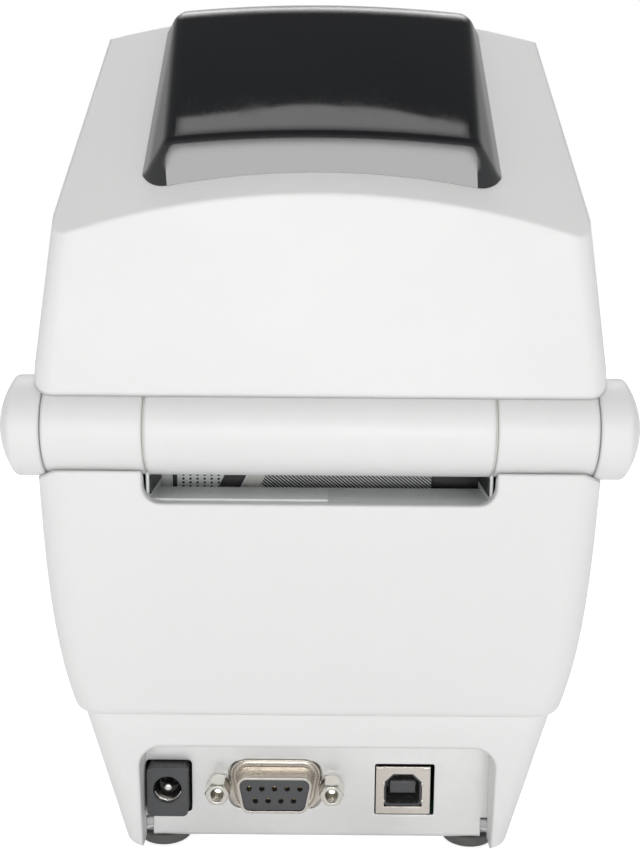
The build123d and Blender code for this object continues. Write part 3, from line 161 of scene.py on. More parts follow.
def build_edges():
    """Rounded edges, and a broken mask along them where handling has polished the surface."""
    g, given, result = shader_group(
        "edge_wear",
        [("Vector", VECTOR, None), ("Radius", FLOAT, 0.0006), ("Break Scale", FLOAT, 300.0)],
        [("Mask", FLOAT), ("Rounded Normal", VECTOR)],
    )
    rounded = g.make("ShaderNodeBevel", {"Radius": given["Radius"]}, samples=6).outputs["Normal"]
    plain = g.make("ShaderNodeNewGeometry").outputs["Normal"]
    along = g.make("ShaderNodeVectorMath", {0: rounded, 1: plain}, operation="DOT_PRODUCT")
    turned = g.math("SUBTRACT", 1.0, along.outputs["Value"])
    broken = g.ramp(g.noise(given["Vector"], given["Break Scale"], 3.0), 0.35, 0.62)
    mask = g.math("MULTIPLY", g.ramp(turned, 0.015, 0.12), broken)
    g.give(result, {"Mask": mask, "Rounded Normal": rounded})
    return g.tree


def build_drawn_metal():
    """Fine lines along one axis, as rolling or grinding leaves on metal, with faint stains."""
    g, given, result = shader_group(
        "drawn_metal",
        [("Vector", VECTOR, None), ("Along", VECTOR, (12.0, 900.0, 900.0)), ("Stain Scale", FLOAT, 90.0)],
        [("Lines", FLOAT), ("Stain", FLOAT)],
    )
    stretched = g.make(
        "ShaderNodeVectorMath", {0: given["Vector"], 1: given["Along"]}, operation="MULTIPLY"
    )
    lines = g.noise(stretched.outputs[0], 1.0, 4.0, Roughness=0.7)
    stain = g.noise(given["Vector"], given["Stain Scale"], 4.0)
    g.give(result, {"Lines": lines, "Stain": g.ramp(stain, 0.4, 0.75)})
    return g.tree


moulded_grain = build_moulded_grain()
surface_patches = build_patches()
edge_wear = build_edges()
drawn_metal = build_drawn_metal()


def new_finish(name):
    """An empty material: its graph, its Principled shader and its object coordinates."""
    material = bpy.data.materials.new(name)
    material.use_nodes = True
    material.node_tree.nodes.clear()
    g = Graph(material.node_tree)
    shader = g.make("ShaderNodeBsdfPrincipled")
    g.make("ShaderNodeOutputMaterial", {"Surface": shader.outputs[0]})
    place = g.make("ShaderNodeTexCoord").outputs["Object"]
    return material, g, shader, place


def use_group(g, tree, values):
    return g.make("ShaderNodeGroup", values, node_tree=tree).outputs


def rgba(colour):
    return (*colour, 1.0)


def shade(colour, factor):
    return rgba([min(c * factor, 1.0) for c in colour])


DUST_GREY = (0.62, 0.61, 0.58)


def plastic(
    name, colour, roughness, grain=2600.0, depth=0.03, edge=0.0006, patch=14.0, spread=0.05,
    dust=0.25, worn=0.35, coat=0.0,
):
    """A moulded plastic: grain in its bump, slow colour changes, polished edges and dust."""
    material, g, shader, place = new_finish(name)
    fine = use_group(g, moulded_grain, {"Vector": place, "Grain Scale": grain})
    slow = use_group(g, surface_patches, {"Vector": place, "Patch Scale": patch})
    rim = use_group(g, edge_wear, {"Vector": place, "Radius": edge})
    base = g.mix(slow["Flow"], shade(colour, 1.0 - spread), shade(colour, 1.0 + spread))
    base = g.mix(g.math("MULTIPLY", fine["Speckle"], 0.12), base, shade(colour, 0.8))
    base = g.mix(g.math("MULTIPLY", rim["Mask"], worn), base, shade(colour, 1.25))
    base = g.mix(g.math("MULTIPLY", slow["Dust"], dust), base, rgba(DUST_GREY))
    rough = g.math("MULTIPLY_ADD", slow["Handling"], -0.1 * roughness, roughness)
    rough = g.math("MULTIPLY_ADD", fine["Speckle"], 0.12 * roughness, rough)
    rough = g.math("MULTIPLY_ADD", rim["Mask"], -0.3 * roughness, rough)
    rough = g.math("MULTIPLY_ADD", slow["Dust"], dust * 0.4, rough, clamp=True)
    normal = g.bump(depth, 0.0003, fine["Height"], rim["Rounded Normal"])
    g.give(shader.inputs, {"Base Color": base, "Roughness": rough, "Normal": normal})
    if coat:
        g.give(shader.inputs, {"Coat Weight": coat, "Coat Roughness": 0.08})
    return material


def metal(
    name, colour, roughness, along=(12.0, 900.0, 900.0), depth=0.05, edge=0.0002, stain_colour=None
):
    """A plated or ground metal: drawn lines, faint stains and bright edges."""
    material, g, shader, place = new_finish(name)
    lines = use_group(g, drawn_metal, {"Vector": place, "Along": along})
    slow = use_group(g, surface_patches, {"Vector": place, "Patch Scale": 30.0})
    rim = use_group(g, edge_wear, {"Vector": place, "Radius": edge, "Break Scale": 900.0})
    base = g.mix(slow["Flow"], shade(colour, 0.94), shade(colour, 1.05))
    stained = stain_colour or [c * 0.72 for c in colour]
    base = g.mix(g.math("MULTIPLY", lines["Stain"], 0.35), base, rgba(stained))
    base = g.mix(g.math("MULTIPLY", rim["Mask"], 0.4), base, shade(colour, 1.2))
    rough = g.math("MULTIPLY_ADD", lines["Lines"], roughness * 0.5, roughness * 0.75)
    rough = g.math("MULTIPLY_ADD", lines["Stain"], roughness * 0.3, rough, clamp=True)
    normal = g.bump(depth, 0.0001, lines["Lines"], rim["Rounded Normal"])
    g.give(shader.inputs, {"Base Color": base, "Metallic": 1.0, "Roughness": rough, "Normal": normal})
    return material


# The window's rear face meets the cover along an arch: it starts at FOOT_Z less ARCH times X squared.
WINDOW_FOOT_Z, WINDOW_FOOT_ARCH, WINDOW_FOOT_BLEND = 0.1496, 3.2, 0.0015
WINDOW_REAR_Y = (-0.01, 0.015)
WINDOW_BROW_ROUND, WINDOW_EDGE_ROUND = 0.003, 0.0007


def window_normal(g, place):
    """A wide round on the rear brow that stops above the foot, and narrow rounds elsewhere."""
    brow = use_group(g, edge_wear, {"Vector": place, "Radius": WINDOW_BROW_ROUND})
    edge = use_group(g, edge_wear, {"Vector": place, "Radius": WINDOW_EDGE_ROUND})
    parts = g.make("ShaderNodeSeparateXYZ", {0: place}).outputs
    arch = g.math("MULTIPLY", g.math("MULTIPLY", parts["X"], parts["X"]), WINDOW_FOOT_ARCH)
    height = g.math("ADD", parts["Z"], arch)
    above_foot = g.ramp(height, WINDOW_FOOT_Z, WINDOW_FOOT_Z + WINDOW_FOOT_BLEND)
    flat = g.make("ShaderNodeNewGeometry").outputs["Normal"]
    rear = g.mix_normals(above_foot, flat, brow["Rounded Normal"])
    return g.mix_normals(g.ramp(parts["Y"], *WINDOW_REAR_Y), edge["Rounded Normal"], rear)


def smoked_window():
    """Smoked acrylic: nearly black and glossy."""
    material, g, shader, place = new_finish("smoked_acrylic")
    slow = use_group(g, surface_patches, {"Vector": place, "Patch Scale": 22.0})
    base = g.mix(slow["Flow"], rgba((0.0052, 0.0062, 0.0078)), rgba((0.0082, 0.0092, 0.0108)))
    base = g.mix(g.math("MULTIPLY", slow["Dust"], 0.02), base, rgba((0.4, 0.4, 0.39)))
    rough = g.math("MULTIPLY_ADD", slow["Handling"], 0.02, 0.03)
    rough = g.math("MULTIPLY_ADD", slow["Dust"], 0.04, rough, clamp=True)
    g.give(shader.inputs, {
        "Base Color": base, "Roughness": rough, "Normal": window_normal(g, place), "IOR": 1.49,
        "Coat Weight": 0.3, "Coat Roughness": 0.03,
    })
    return material


def circuit_board():
    """Green solder mask over copper runs, with tinned pads."""
    material, g, shader, place = new_finish("solder_mask_green")
    slow = use_group(g, surface_patches, {"Vector": place, "Patch Scale": 30.0})
    rim = use_group(g, edge_wear, {"Vector": place, "Radius": 0.0002})
    runs = g.make(
        "ShaderNodeTexBrick",
        {"Vector": place, "Scale": 180.0, "Mortar Size": 0.06, "Brick Width": 1.4, "Row Height": 0.5},
        offset=0.37, squash=1.6,
    ).outputs["Fac"]
    pads = g.make("ShaderNodeTexVoronoi", {"Vector": place, "Scale": 260.0}, distance="CHEBYCHEV")
    pad_mask = g.ramp(pads.outputs["Distance"], 0.14, 0.11)
    base = g.mix(slow["Flow"], rgba((0.012, 0.13, 0.05)), rgba((0.02, 0.17, 0.07)))
    base = g.mix(g.math("MULTIPLY", runs, 0.7), base, rgba((0.03, 0.28, 0.11)))
    base = g.mix(pad_mask, base, rgba((0.55, 0.54, 0.5)))
    g.give(shader.inputs, {
        "Base Color": base, "Metallic": pad_mask,
        "Roughness": g.math("MULTIPLY_ADD", slow["Handling"], 0.1, 0.3),
        "Normal": g.bump(0.2, 0.0001, runs, rim["Rounded Normal"]),
    })
    return material


finishes = {
    "white_plastic": plastic(
        "shell_white", (0.87, 0.87, 0.865), 0.42, spread=0.012, dust=0.05, worn=0.2, edge=0.0012
    ),
    "smoked_plastic": smoked_window(),
    # Painted light: the lip, its walls and the deflector in the slot are near white, lighter than their
    # grey plastic, to brighten them in the hinge barrel's shadow.
    "grey_plastic": plastic("slot_plastic_painted_light", (0.89, 0.912, 0.907), 0.38, spread=0.04),
    "black_plastic": plastic(
        "carriage_black", (0.028, 0.028, 0.03), 0.42, grain=1800.0, depth=0.06, dust=0.05
    ),
    "button_plastic": plastic("button_grey", (0.33, 0.35, 0.345), 0.35, edge=0.0003),
    "light_lens": plastic("lens_green", (0.18, 0.52, 0.2), 0.12, depth=0.005, coat=0.6),
    "rubber": plastic("rubber_grey", (0.1, 0.099, 0.096), 0.62, grain=3200.0, depth=0.12, dust=0.06),
    "sheet_metal": metal("panel_satin_steel", (0.76, 0.76, 0.755), 0.34),
    "zinc_sheet": metal("zinc_plated_sheet", (0.6, 0.605, 0.6), 0.38, stain_colour=(0.5, 0.49, 0.43)),
    "screw_steel": metal("nickel_screws", (0.74, 0.72, 0.66), 0.18, along=(400.0, 400.0, 400.0)),
    "blade_steel": metal("ground_blade", (0.72, 0.72, 0.72), 0.25, along=(900.0, 14.0, 900.0)),
    "socket_metal": metal("tinned_socket_shell", (0.68, 0.64, 0.585), 0.24, along=(60.0, 60.0, 600.0)),
    "socket_black": plastic("socket_insert_black", (0.068, 0.07, 0.073), 0.5, grain=4200.0, edge=0.0002),
    "contact_metal": metal("bright_pin", (0.82, 0.81, 0.78), 0.12, along=(300.0, 300.0, 300.0)),
    "contact_gold": metal("gold_contacts", (0.86, 0.62, 0.26), 0.16, along=(300.0, 300.0, 300.0)),
    "brass_posts": metal("turned_brass", (0.78, 0.6, 0.28), 0.25, along=(200.0, 200.0, 2000.0)),
    "circuit_board": circuit_board(),
    "chip_black": plastic("chip_epoxy", (0.024, 0.024, 0.025), 0.55, grain=5000.0, edge=0.0002),
    "bushing_plastic": plastic("bushing_acetal", (0.7, 0.69, 0.62), 0.4, edge=0.0002),
    "gear_plastic": plastic("gear_acetal", (0.74, 0.73, 0.68), 0.36, edge=0.0002),
    "motor_can": metal("motor_can_plated", (0.5, 0.5, 0.5), 0.35, stain_colour=(0.4, 0.39, 0.34)),
    "head_aluminium": metal("extruded_aluminium", (0.76, 0.77, 0.78), 0.32, along=(10.0, 1200.0, 1200.0)),
    "head_ceramic": plastic("glazed_ceramic", (0.62, 0.6, 0.54), 0.14, depth=0.01, coat=0.5, edge=0.0002),
}

for name, piece in nodes.items():
    piece.data.materials.clear()
    piece.data.materials.append(finishes[slot_of[name]])


# Making meshes. Places and sizes below are millimetres until skin() or plate() scales them.

def new_mesh(name, vertices, faces):
    mesh = bpy.data.meshes.new(name)
    mesh.from_pydata([Vector(v) * MM for v in vertices], [], faces)
    shape = bmesh.new()
    shape.from_mesh(mesh)
    bmesh.ops.remove_doubles(shape, verts=shape.verts, dist=1e-6)
    bmesh.ops.recalc_face_normals(shape, faces=shape.faces)
    shape.to_mesh(mesh)
    shape.free()
    return mesh


def skin(name, rings, ends="closed"):
    """Joins rings of points, all of one length. ends: closed caps both, looped joins last to first."""
    count = len(rings[0])
    vertices = [point for ring in rings for point in ring]
    pairs = len(rings) if ends == "looped" else len(rings) - 1
    faces = []
    for i in range(pairs):
        a, b = i * count, ((i + 1) % len(rings)) * count
        for j in range(count):
            k = (j + 1) % count
            faces.append((a + j, a + k, b + k, b + j))
    if ends == "closed":
        faces.append(tuple(range(count)))
        faces.append(tuple(range(len(vertices) - count, len(vertices))))
    return new_mesh(name, vertices, faces)


def lathe(name, profile, segments=40, ends="closed"):
    """Turns (radius, height) points about Z."""
    turns = [2 * math.pi * i / segments for i in range(segments)]
    rings = [[(r * math.cos(t), r * math.sin(t), height) for t in turns] for r, height in profile]
    return skin(name, rings, ends)


def plate(name, outline, thickness, bevel=0.15, segments=2):
    """An outline in X and Y, thick along Z from zero, with its edges rounded."""
    mesh = skin(name, [[(x, y, z) for x, y in outline] for z in (0.0, thickness)])
    shape = bmesh.new()
    shape.from_mesh(mesh)
    bmesh.ops.bevel(
        shape, geom=shape.edges[:], offset=bevel * MM, segments=segments, profile=0.6, affect="EDGES"
    )
    shape.to_mesh(mesh)
    shape.free()
    return mesh


def block(name, size, bevel=0.15):
    """A block round its own middle, with rounded edges."""
    x, y, z = (s / 2 for s in size)
    mesh = plate(name, [(-x, -y), (x, -y), (x, y), (-x, y)], size[2], bevel)
    mesh.transform(Matrix.Translation((0, 0, -z * MM)))
    return mesh


def moved(mesh, place=(0, 0, 0), turn=(0, 0, 0)):
    """The same mesh, turned and then put in its place."""
    angles = Euler([math.radians(t) for t in turn]).to_matrix().to_4x4()
    mesh.transform(Matrix.Translation(Vector(place) * MM) @ angles)
    return mesh


def joined(name, meshes):
    """One mesh out of several."""
    shape = bmesh.new()
    for mesh in meshes:
        shape.from_mesh(mesh)
        bpy.data.meshes.remove(mesh)
    whole = bpy.data.meshes.new(name)
    shape.to_mesh(whole)
    shape.free()
    return whole


def fit(name, mesh, body, slot, instead_of=None):
    """Shows a mesh as a piece of one body, in one slot's finish."""
    mesh.name = name
    mesh.materials.clear()
    mesh.materials.append(finishes[slot])
    piece = bpy.data.objects.new(name, mesh)
    bpy.context.scene.collection.objects.link(piece)
    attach(piece, body)
    if instead_of:
        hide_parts(instead_of)
    return piece


INTEGER, OBJECT, MATERIAL = "NodeSocketInt", "NodeSocketObject", "NodeSocketMaterial"


def build_rows_tree():
    """Geometry nodes that set a piece out in rows: Count Along by Count Across."""
    tree = bpy.data.node_groups.new("rows_of_pieces", "GeometryNodeTree")
    wanted = [
        ("Piece", OBJECT), ("Finish", MATERIAL), ("Start", VECTOR), ("Count Along", INTEGER),
        ("Step Along", VECTOR), ("Count Across", INTEGER), ("Step Across", VECTOR),
        ("Turn", VECTOR), ("Loose Spin", FLOAT), ("Seed", INTEGER),
    ]
    for label, kind in wanted:
        tree.interface.new_socket(label, in_out="INPUT", socket_type=kind)
    tree.interface.new_socket("Geometry", in_out="OUTPUT", socket_type="NodeSocketGeometry")
    g = Graph(tree)
    given = tree.nodes.new("NodeGroupInput").outputs
    result = tree.nodes.new("NodeGroupOutput").inputs
    along = g.make(
        "GeometryNodeMeshLine",
        {"Count": given["Count Along"], "Start Location": given["Start"], "Offset": given["Step Along"]},
        mode="OFFSET",
    )
    across = g.make(
        "GeometryNodeMeshLine", {"Count": given["Count Across"], "Offset": given["Step Across"]},
        mode="OFFSET",
    )
    grid = g.make(
        "GeometryNodeInstanceOnPoints", {"Points": along.outputs[0], "Instance": across.outputs[0]}
    )
    points = g.make("GeometryNodeRealizeInstances", {"Geometry": grid.outputs[0]})
    piece = g.make("GeometryNodeObjectInfo", {"Object": given["Piece"]}, transform_space="ORIGINAL")
    spin = g.make(
        "FunctionNodeRandomValue",
        {2: g.math("MULTIPLY", given["Loose Spin"], -1.0), 3: given["Loose Spin"], "Seed": given["Seed"]},
        data_type="FLOAT",
    )
    own = g.make("ShaderNodeCombineXYZ", {"Z": spin.outputs[1]})
    own_turn = g.make("FunctionNodeEulerToRotation", {0: own.outputs[0]})
    set_turn = g.make("FunctionNodeEulerToRotation", {0: given["Turn"]})
    turned = g.make(
        "FunctionNodeRotateRotation", {0: set_turn.outputs[0], 1: own_turn.outputs[0]},
        rotation_space="LOCAL",
    )
    placed = g.make(
        "GeometryNodeInstanceOnPoints",
        {"Points": points.outputs[0], "Instance": piece.outputs["Geometry"], "Rotation": turned.outputs[0]},
    )
    real = g.make("GeometryNodeRealizeInstances", {"Geometry": placed.outputs[0]})
    finished = g.make(
        "GeometryNodeSetMaterial", {"Geometry": real.outputs[0], "Material": given["Finish"]}
    )
    g.give(result, {"Geometry": finished.outputs[0]})
    return tree


rows_tree = build_rows_tree()


def discard(*spent):
    """Removes helper objects with their meshes."""
    for item in spent:
        left = item.data
        bpy.data.objects.remove(item)
        bpy.data.meshes.remove(left)


def rows(name, mesh, slot, start, along, across=(1, (0, 0, 0)), turn=(0, 0, 0), spin=0.0, seed=1):
    """Repeats a mesh through the node tree and gives back one plain mesh.

    along and across: a count and a step. turn: set for all. spin: the most that each turns at random.
    """
    source = bpy.data.objects.new(name + "_one", mesh)
    bpy.context.scene.collection.objects.link(source)
    holder = bpy.data.objects.new(name + "_rows", bpy.data.meshes.new(name + "_rows"))
    bpy.context.scene.collection.objects.link(holder)
    values = {
        "Piece": source, "Finish": finishes[slot], "Start": Vector(start) * MM,
        "Count Along": along[0], "Step Along": Vector(along[1]) * MM,
        "Count Across": across[0], "Step Across": Vector(across[1]) * MM,
        "Turn": [math.radians(t) for t in turn], "Loose Spin": math.radians(spin), "Seed": seed,
    }
    modifier = holder.modifiers.new("rows", "NODES")
    modifier.node_group = rows_tree
    for item in rows_tree.interface.items_tree:
        if item.in_out == "INPUT":
            modifier[item.identifier] = values[item.name]
    graph = bpy.context.evaluated_depsgraph_get()
    graph.update()
    made = bpy.data.meshes.new_from_object(holder.evaluated_get(graph))
    holder.modifiers.remove(modifier)
    discard(holder, source)
    return made


def fit_rows(name, mesh, body, slot, start, instead_of=None, **layout):
    """Shows a mesh, repeated in rows, as one piece of one body."""
    return fit(name, rows(name, mesh, slot, start, **layout), body, slot, instead_of)


def box_mm(node):
    """The low and the high corner of a CAD node's box."""
    low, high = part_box(node)
    return Vector(low) / MM, Vector(high) / MM


def middle_mm(node):
    low, high = box_mm(node)
    return (low + high) / 2


# Connector panel

panel_y = box_mm("bottom_pan")[1].y
serial_front_y = box_mm("serial_shell")[1].y
serial_x, _, serial_z = middle_mm("serial_shell")


def serial_outline(offset, y, points_per_corner=9):
    """The serial socket's D, grown outwards by offset, in the plane y."""
    half_top, half_high, slant, corner_r = 8.45, 4.15, 1.45, 2.0
    half_low = half_top - slant
    lean = math.degrees(math.atan2(slant, 2 * half_high))
    inner = corner_r / math.cos(math.radians(lean))
    corners = [
        (half_top - inner - 0.35, half_high - corner_r, -lean, 90.0),
        (-(half_top - inner - 0.35), half_high - corner_r, 90.0, 180.0 + lean),
        (-(half_low - inner + 0.35), corner_r - half_high, 180.0 + lean, 270.0),
        (half_low - inner + 0.35, corner_r - half_high, 270.0, 360.0 - lean),
    ]
    ring = []
    for x, z, first, last in corners:
        for i in range(points_per_corner):
            turn = math.radians(first + (last - first) * i / (points_per_corner - 1))
            reach = corner_r + offset
            ring.append((serial_x + x + reach * math.cos(turn), y, serial_z + z + reach * math.sin(turn)))
    return ring


def drawn_serial_shell():
    """The socket's drawn steel shell: a bead round the hole, a flared root and a rolled lip."""
    reach = serial_front_y - panel_y
    path = [
        (2.05, -0.6), (2.05, 0.1), (1.95, 0.38), (1.75, 0.5), (1.55, 0.42), (1.42, 0.15), (1.25, -0.25),
        (0.9, -0.35), (0.5, -0.1), (0.22, 0.5), (0.1, 1.2), (0.06, reach - 0.5), (0.1, reach - 0.3),
        (0.06, reach - 0.08), (-0.12, reach), (-0.34, reach - 0.08), (-0.44, reach - 0.35),
        (-0.46, reach - 1.4), (-0.2, 0.4), (0.3, -0.6),
    ]
    rings = [serial_outline(offset, panel_y + y) for offset, y in path]
    return skin("serial_shell_drawn", rings, "looped")


def jackscrew():
    """A hex jackscrew along Z: a chamfered hex, a threaded bore and a shank behind the panel."""
    flats, length, bore_r, shank_r, segments = 4.8, 5.1, 1.42, 1.5, 48
    turns = [2 * math.pi * i / segments for i in range(segments)]

    def hex_r(turn, most):
        sixth = (turn % (math.pi / 3)) - math.pi / 6
        return min(flats / 2 / math.cos(sixth), most)

    def ring(radii, z):
        return [(r * math.cos(t), r * math.sin(t), z) for r, t in zip(radii, turns)]

    rings = [ring([shank_r] * segments, -4.0), ring([shank_r] * segments, 0.0)]
    hexagon = [
        (2.35, 0.0), (2.9, 0.3), (2.9, length - 0.62), (2.5, length - 0.3), (2.22, length - 0.08),
        (2.1, length),
    ]
    for most, z in hexagon:
        rings.append(ring([hex_r(t, most) for t in turns], z))
    rings.append(ring([bore_r + 0.22] * segments, length))
    rings.append(ring([bore_r - 0.04] * segments, length - 0.24))
    pitch, steps, step_z, thread_depth = 0.64, 40, 0.09, 0.13
    for i in range(steps):
        z = length - 0.3 - i * step_z
        waves = [abs(2 * ((z / pitch + t / (2 * math.pi)) % 1.0) - 1) for t in turns]
        rings.append(ring([bore_r - 0.02 - thread_depth * wave for wave in waves], z))
    rings.append(ring([0.3] * segments, length - 0.3 - steps * step_z - 0.25))
    return skin("jackscrew", rings)


fit("serial_shell_drawn", drawn_serial_shell(), "chassis", "socket_metal")
screw_gap = 24.99
fit_rows(
    "jackscrew_pair", jackscrew(), "chassis", "screw_steel",
    (serial_x - screw_gap / 2, panel_y, serial_z), "jackscrews",
    along=(2, (screw_gap, 0, 0)), turn=(-90, 0, 0), spin=4.0, seed=4,
)

jack_y = box_mm("dc_jack_body")[1].y
jack_x, _, jack_z = middle_mm("dc_jack_pin")


def jack_spring():
    """The sprung sleeve that lines the lower half of the inlet's bore."""
    steps, first, last, bore_r, thickness = 24, 196.0, 344.0, 3.15, 0.22
    outer = [(bore_r - 0.06, -1.0), (bore_r - 0.5, -1.9), (bore_r - 0.72, -3.4), (bore_r - 0.4, -6.8)]
    path = outer + [(r - thickness, y) for r, y in reversed(outer)]
    rings = []
    for i in range(steps + 1):
        turn = math.radians(first + (last - first) * i / steps)
        c, s = math.cos(turn), math.sin(turn)
        rings.append([(jack_x + r * c, jack_y + y, jack_z + r * s) for r, y in path])
    return skin("jack_spring", rings)


fit("jack_spring", jack_spring(), "chassis", "contact_metal")


def serial_tubes():
    """Nine turned contacts, sunk in their holes: five above four."""
    pitch, row_gap, sunk = 2.77, 2.84, 2.2
    path = [(0.55, 0.0), (0.5, 0.12), (0.38, 0.06), (0.36, -5.0), (0.55, -5.0)]
    tubes = []
    for count, level in ((5, row_gap / 2), (4, -row_gap / 2)):
        start = (serial_x - (count - 1) / 2 * pitch, serial_front_y - sunk, serial_z + level)
        tubes.append(rows(
            "serial_tubes", lathe("tube", path, 16, "looped"), "contact_gold", start,
            along=(count, (pitch, 0, 0)), turn=(-90, 0, 0),
        ))
    return joined("serial_tubes", tubes)


fit("serial_tubes", serial_tubes(), "chassis", "contact_gold", "serial_contacts")

usb_y = box_mm("usb_shell")[1].y
usb_x, _, usb_z = middle_mm("usb_shell")
mouth_half, mouth_high_half, mouth_chamfer = 8.45 / 2, 7.78 / 2, 2.0


def mouth_outline(inset, y):
    """The USB mouth with its two cut corners, moved inwards by inset."""
    half, high, cut = mouth_half - inset, mouth_high_half - inset, mouth_chamfer - 0.4 * inset
    corner = 0.45
    points = [
        (-half + corner, -high), (half - corner, -high), (half, -high + corner), (half, high - cut),
        (half - cut, high), (-half + cut, high), (-half, high - cut), (-half, -high + corner),
    ]
    return [(usb_x + x, y, usb_z + z) for x, z in points]


def usb_liner():
    """The dark moulding inside the USB shell, open at its mouth."""
    depth, floor_inset = 8.8, 3.4
    path = [
        (0.04, -0.45), (0.35, -0.45), (0.5, -0.6), (0.55, 0.5 - depth), (floor_inset, 0.45 - depth),
        (floor_inset, -depth), (0.04, -depth),
    ]
    return skin("usb_liner", [mouth_outline(inset, usb_y + y) for inset, y in path], "looped")


def usb_tabs():
    """Folded tabs at the top corners of the shell's face, and the springs beside its mouth."""
    tabs = []
    for side in (-1, 1):
        tab = block("usb_tab", (1.5, 0.5, 0.7), 0.12)
        tabs.append(moved(tab, (usb_x + side * 5.1, usb_y - 0.12, usb_z + 5.15)))
        for level in (-2.6, 1.5):
            spring = block("usb_spring", (0.55, 0.5, 0.9), 0.14)
            tabs.append(moved(spring, (usb_x + side * (mouth_half + 0.1), usb_y - 0.14, usb_z + level)))
    return joined("usb_tabs", tabs)


def usb_fingers():
    """Four flat contacts on the tongue, set back from its end."""
    pitch, set_back, length = 2.5, 3.6, 4.6
    tongue_low, tongue_high = box_mm("usb_tongue")
    return rows(
        "usb_fingers", block("finger", (1.0, length, 0.2), 0.06), "contact_gold",
        (usb_x - pitch / 2, usb_y - set_back - length / 2, tongue_low.z - 0.12),
        along=(2, (pitch, 0, 0)), across=(2, (0, 0, tongue_high.z - tongue_low.z + 0.24)),
    )


fit("usb_fingers", usb_fingers(), "chassis", "contact_gold", "usb_contacts")
fit("usb_liner", usb_liner(), "chassis", "socket_black")
fit("usb_tabs", usb_tabs(), "chassis", "socket_metal")


# Underside: feet with ringed soles, and the screws that hold the pan

FOOT_R = 6.0


def foot():
    """A rubber foot with two ring grooves in its sole."""
    height = 2.5
    profile = [
        (0.5, height), (FOOT_R - 0.3, height), (FOOT_R, height - 0.3), (FOOT_R, 0.7),
        (FOOT_R - 0.25, 0.25), (FOOT_R - 0.7, 0.0), (4.3, 0.0), (4.1, 0.35), (3.7, 0.35), (3.5, 0.0),
        (2.5, 0.0), (2.3, 0.35), (1.9, 0.35), (1.7, 0.0), (0.4, 0.0),
    ]
    return lathe("foot", profile, 44)


def cross_screw(head_r, head_height, shank_r, length):
    """A pan-head screw that points up along Z, with a cross recess in its head below."""
    profile = [
        (0.3, length), (shank_r * 0.6, length - 0.2), (shank_r, length - 1.0), (shank_r, 0.0),
        (head_r - 0.15, 0.0), (head_r, -0.15), (head_r, -0.45 * head_height),
        (head_r * 0.88, -0.75 * head_height), (head_r * 0.62, -0.95 * head_height), (0.2, -head_height),
    ]
    screw = bpy.data.objects.new("screw", lathe("screw", profile, 32))
    arm, width, deep = head_r * 0.55, head_r * 0.1, head_height * 0.75
    star = []
    for i in range(4):
        c, s = math.cos(i * math.pi / 2), math.sin(i * math.pi / 2)
        for x, y in ((width, -width), (arm, -width), (arm, width)):
            star.append((x * c - y * s, x * s + y * c))
    mouth = [(x, y, -head_height - 0.5) for x, y in star]
    narrowed = [(0.72 * x, 0.72 * y, -head_height + deep) for x, y in star]
    cutter = bpy.data.objects.new("recess", skin("recess", [mouth, narrowed]))
    for item in (screw, cutter):
        bpy.context.scene.collection.objects.link(item)
    cut = screw.modifiers.new("recess", "BOOLEAN")
    cut.object, cut.operation, cut.solver = cutter, "DIFFERENCE", "EXACT"
    graph = bpy.context.evaluated_depsgraph_get()
    graph.update()
    made = bpy.data.meshes.new_from_object(screw.evaluated_get(graph))
    discard(screw, cutter)
    return made


def fit_corners(name, mesh, slot, start_z, radius, node, **layout):
    """One round piece at each corner of a CAD node's box, in place of that node."""
    low, high = box_mm(node)
    fit_rows(
        name, mesh, "chassis", slot, (low.x + radius, low.y + radius, start_z), node,
        along=(2, (high.x - low.x - 2 * radius, 0, 0)), across=(2, (0, high.y - low.y - 2 * radius, 0)),
        **layout,
    )


fit_corners("foot_discs", foot(), "rubber", 0.0, FOOT_R, "rubber_feet", spin=180.0, seed=7)
pan_low, pan_high = box_mm("pan_screws")
pan_head_r, pan_head_height = 2.7, 1.4
pan_screw_z = pan_low.z + pan_head_height
pan_screw = cross_screw(pan_head_r, pan_head_height, 1.2, pan_high.z - pan_screw_z)
fit_corners(
    "pan_screw_set", pan_screw, "screw_steel", pan_screw_z, pan_head_r, "pan_screws", spin=80.0, seed=11
)


# What shows through the slot under the hinge barrel

lip_low, lip_high = box_mm("slot_lip")
deflector_y, deflector_low_z, deflector_high_z = lip_low.y - 0.6, lip_high.z - 2.2, 91.0
face_y, pad_low_z, pad_height = deflector_y + 0.34, deflector_low_z + 0.3, 5.2


def slot_deflector():
    """A bent plate that hangs from the barrel and turns the labels down into the bay."""
    y, low_z, high_z = deflector_y, deflector_low_z, deflector_high_z
    web_rear_y, bend = box_mm("hinge_barrel")[0].y + 3.0, 1.2
    side = [
        (web_rear_y, high_z), (y + bend, high_z), (y - 0.6, high_z - 0.7), (y - 1.0, high_z - bend - 1.0),
        (y - 1.0, low_z + 0.4), (y - 0.5, low_z), (y, low_z + 0.4), (y, high_z - bend - 1.2),
        (y + 0.5, high_z - bend - 0.3), (y + bend + 0.4, high_z - 1.0), (web_rear_y, high_z - 1.0),
    ]
    web_half, wing_half, wing_high_z = 32.6, 36.0, high_z - 3.0
    web = [[(x, *point) for point in side] for x in (-web_half, web_half)]
    pieces = [skin("deflector_middle", web)]
    for x0, x1 in ((-wing_half, -web_half + 0.01), (web_half - 0.01, wing_half)):
        wing = block("deflector_wing", (x1 - x0, 1.0, wing_high_z - low_z), 0.2)
        pieces.append(moved(wing, ((x0 + x1) / 2, y - 0.5, (wing_high_z + low_z) / 2)))
    return joined("slot_deflector", pieces)


def slanted(width, lean, thickness=0.35):
    """A slanted bar for the deflector's back face, as high as the pads there."""
    half, shift = width / 2, lean / 2
    outline = [
        (-half - shift, 0), (half - shift, 0), (half + shift, pad_height), (shift - half, pad_height)
    ]
    return moved(plate("slanted", outline, thickness, 0.06, 1), turn=(90, 0, 0))


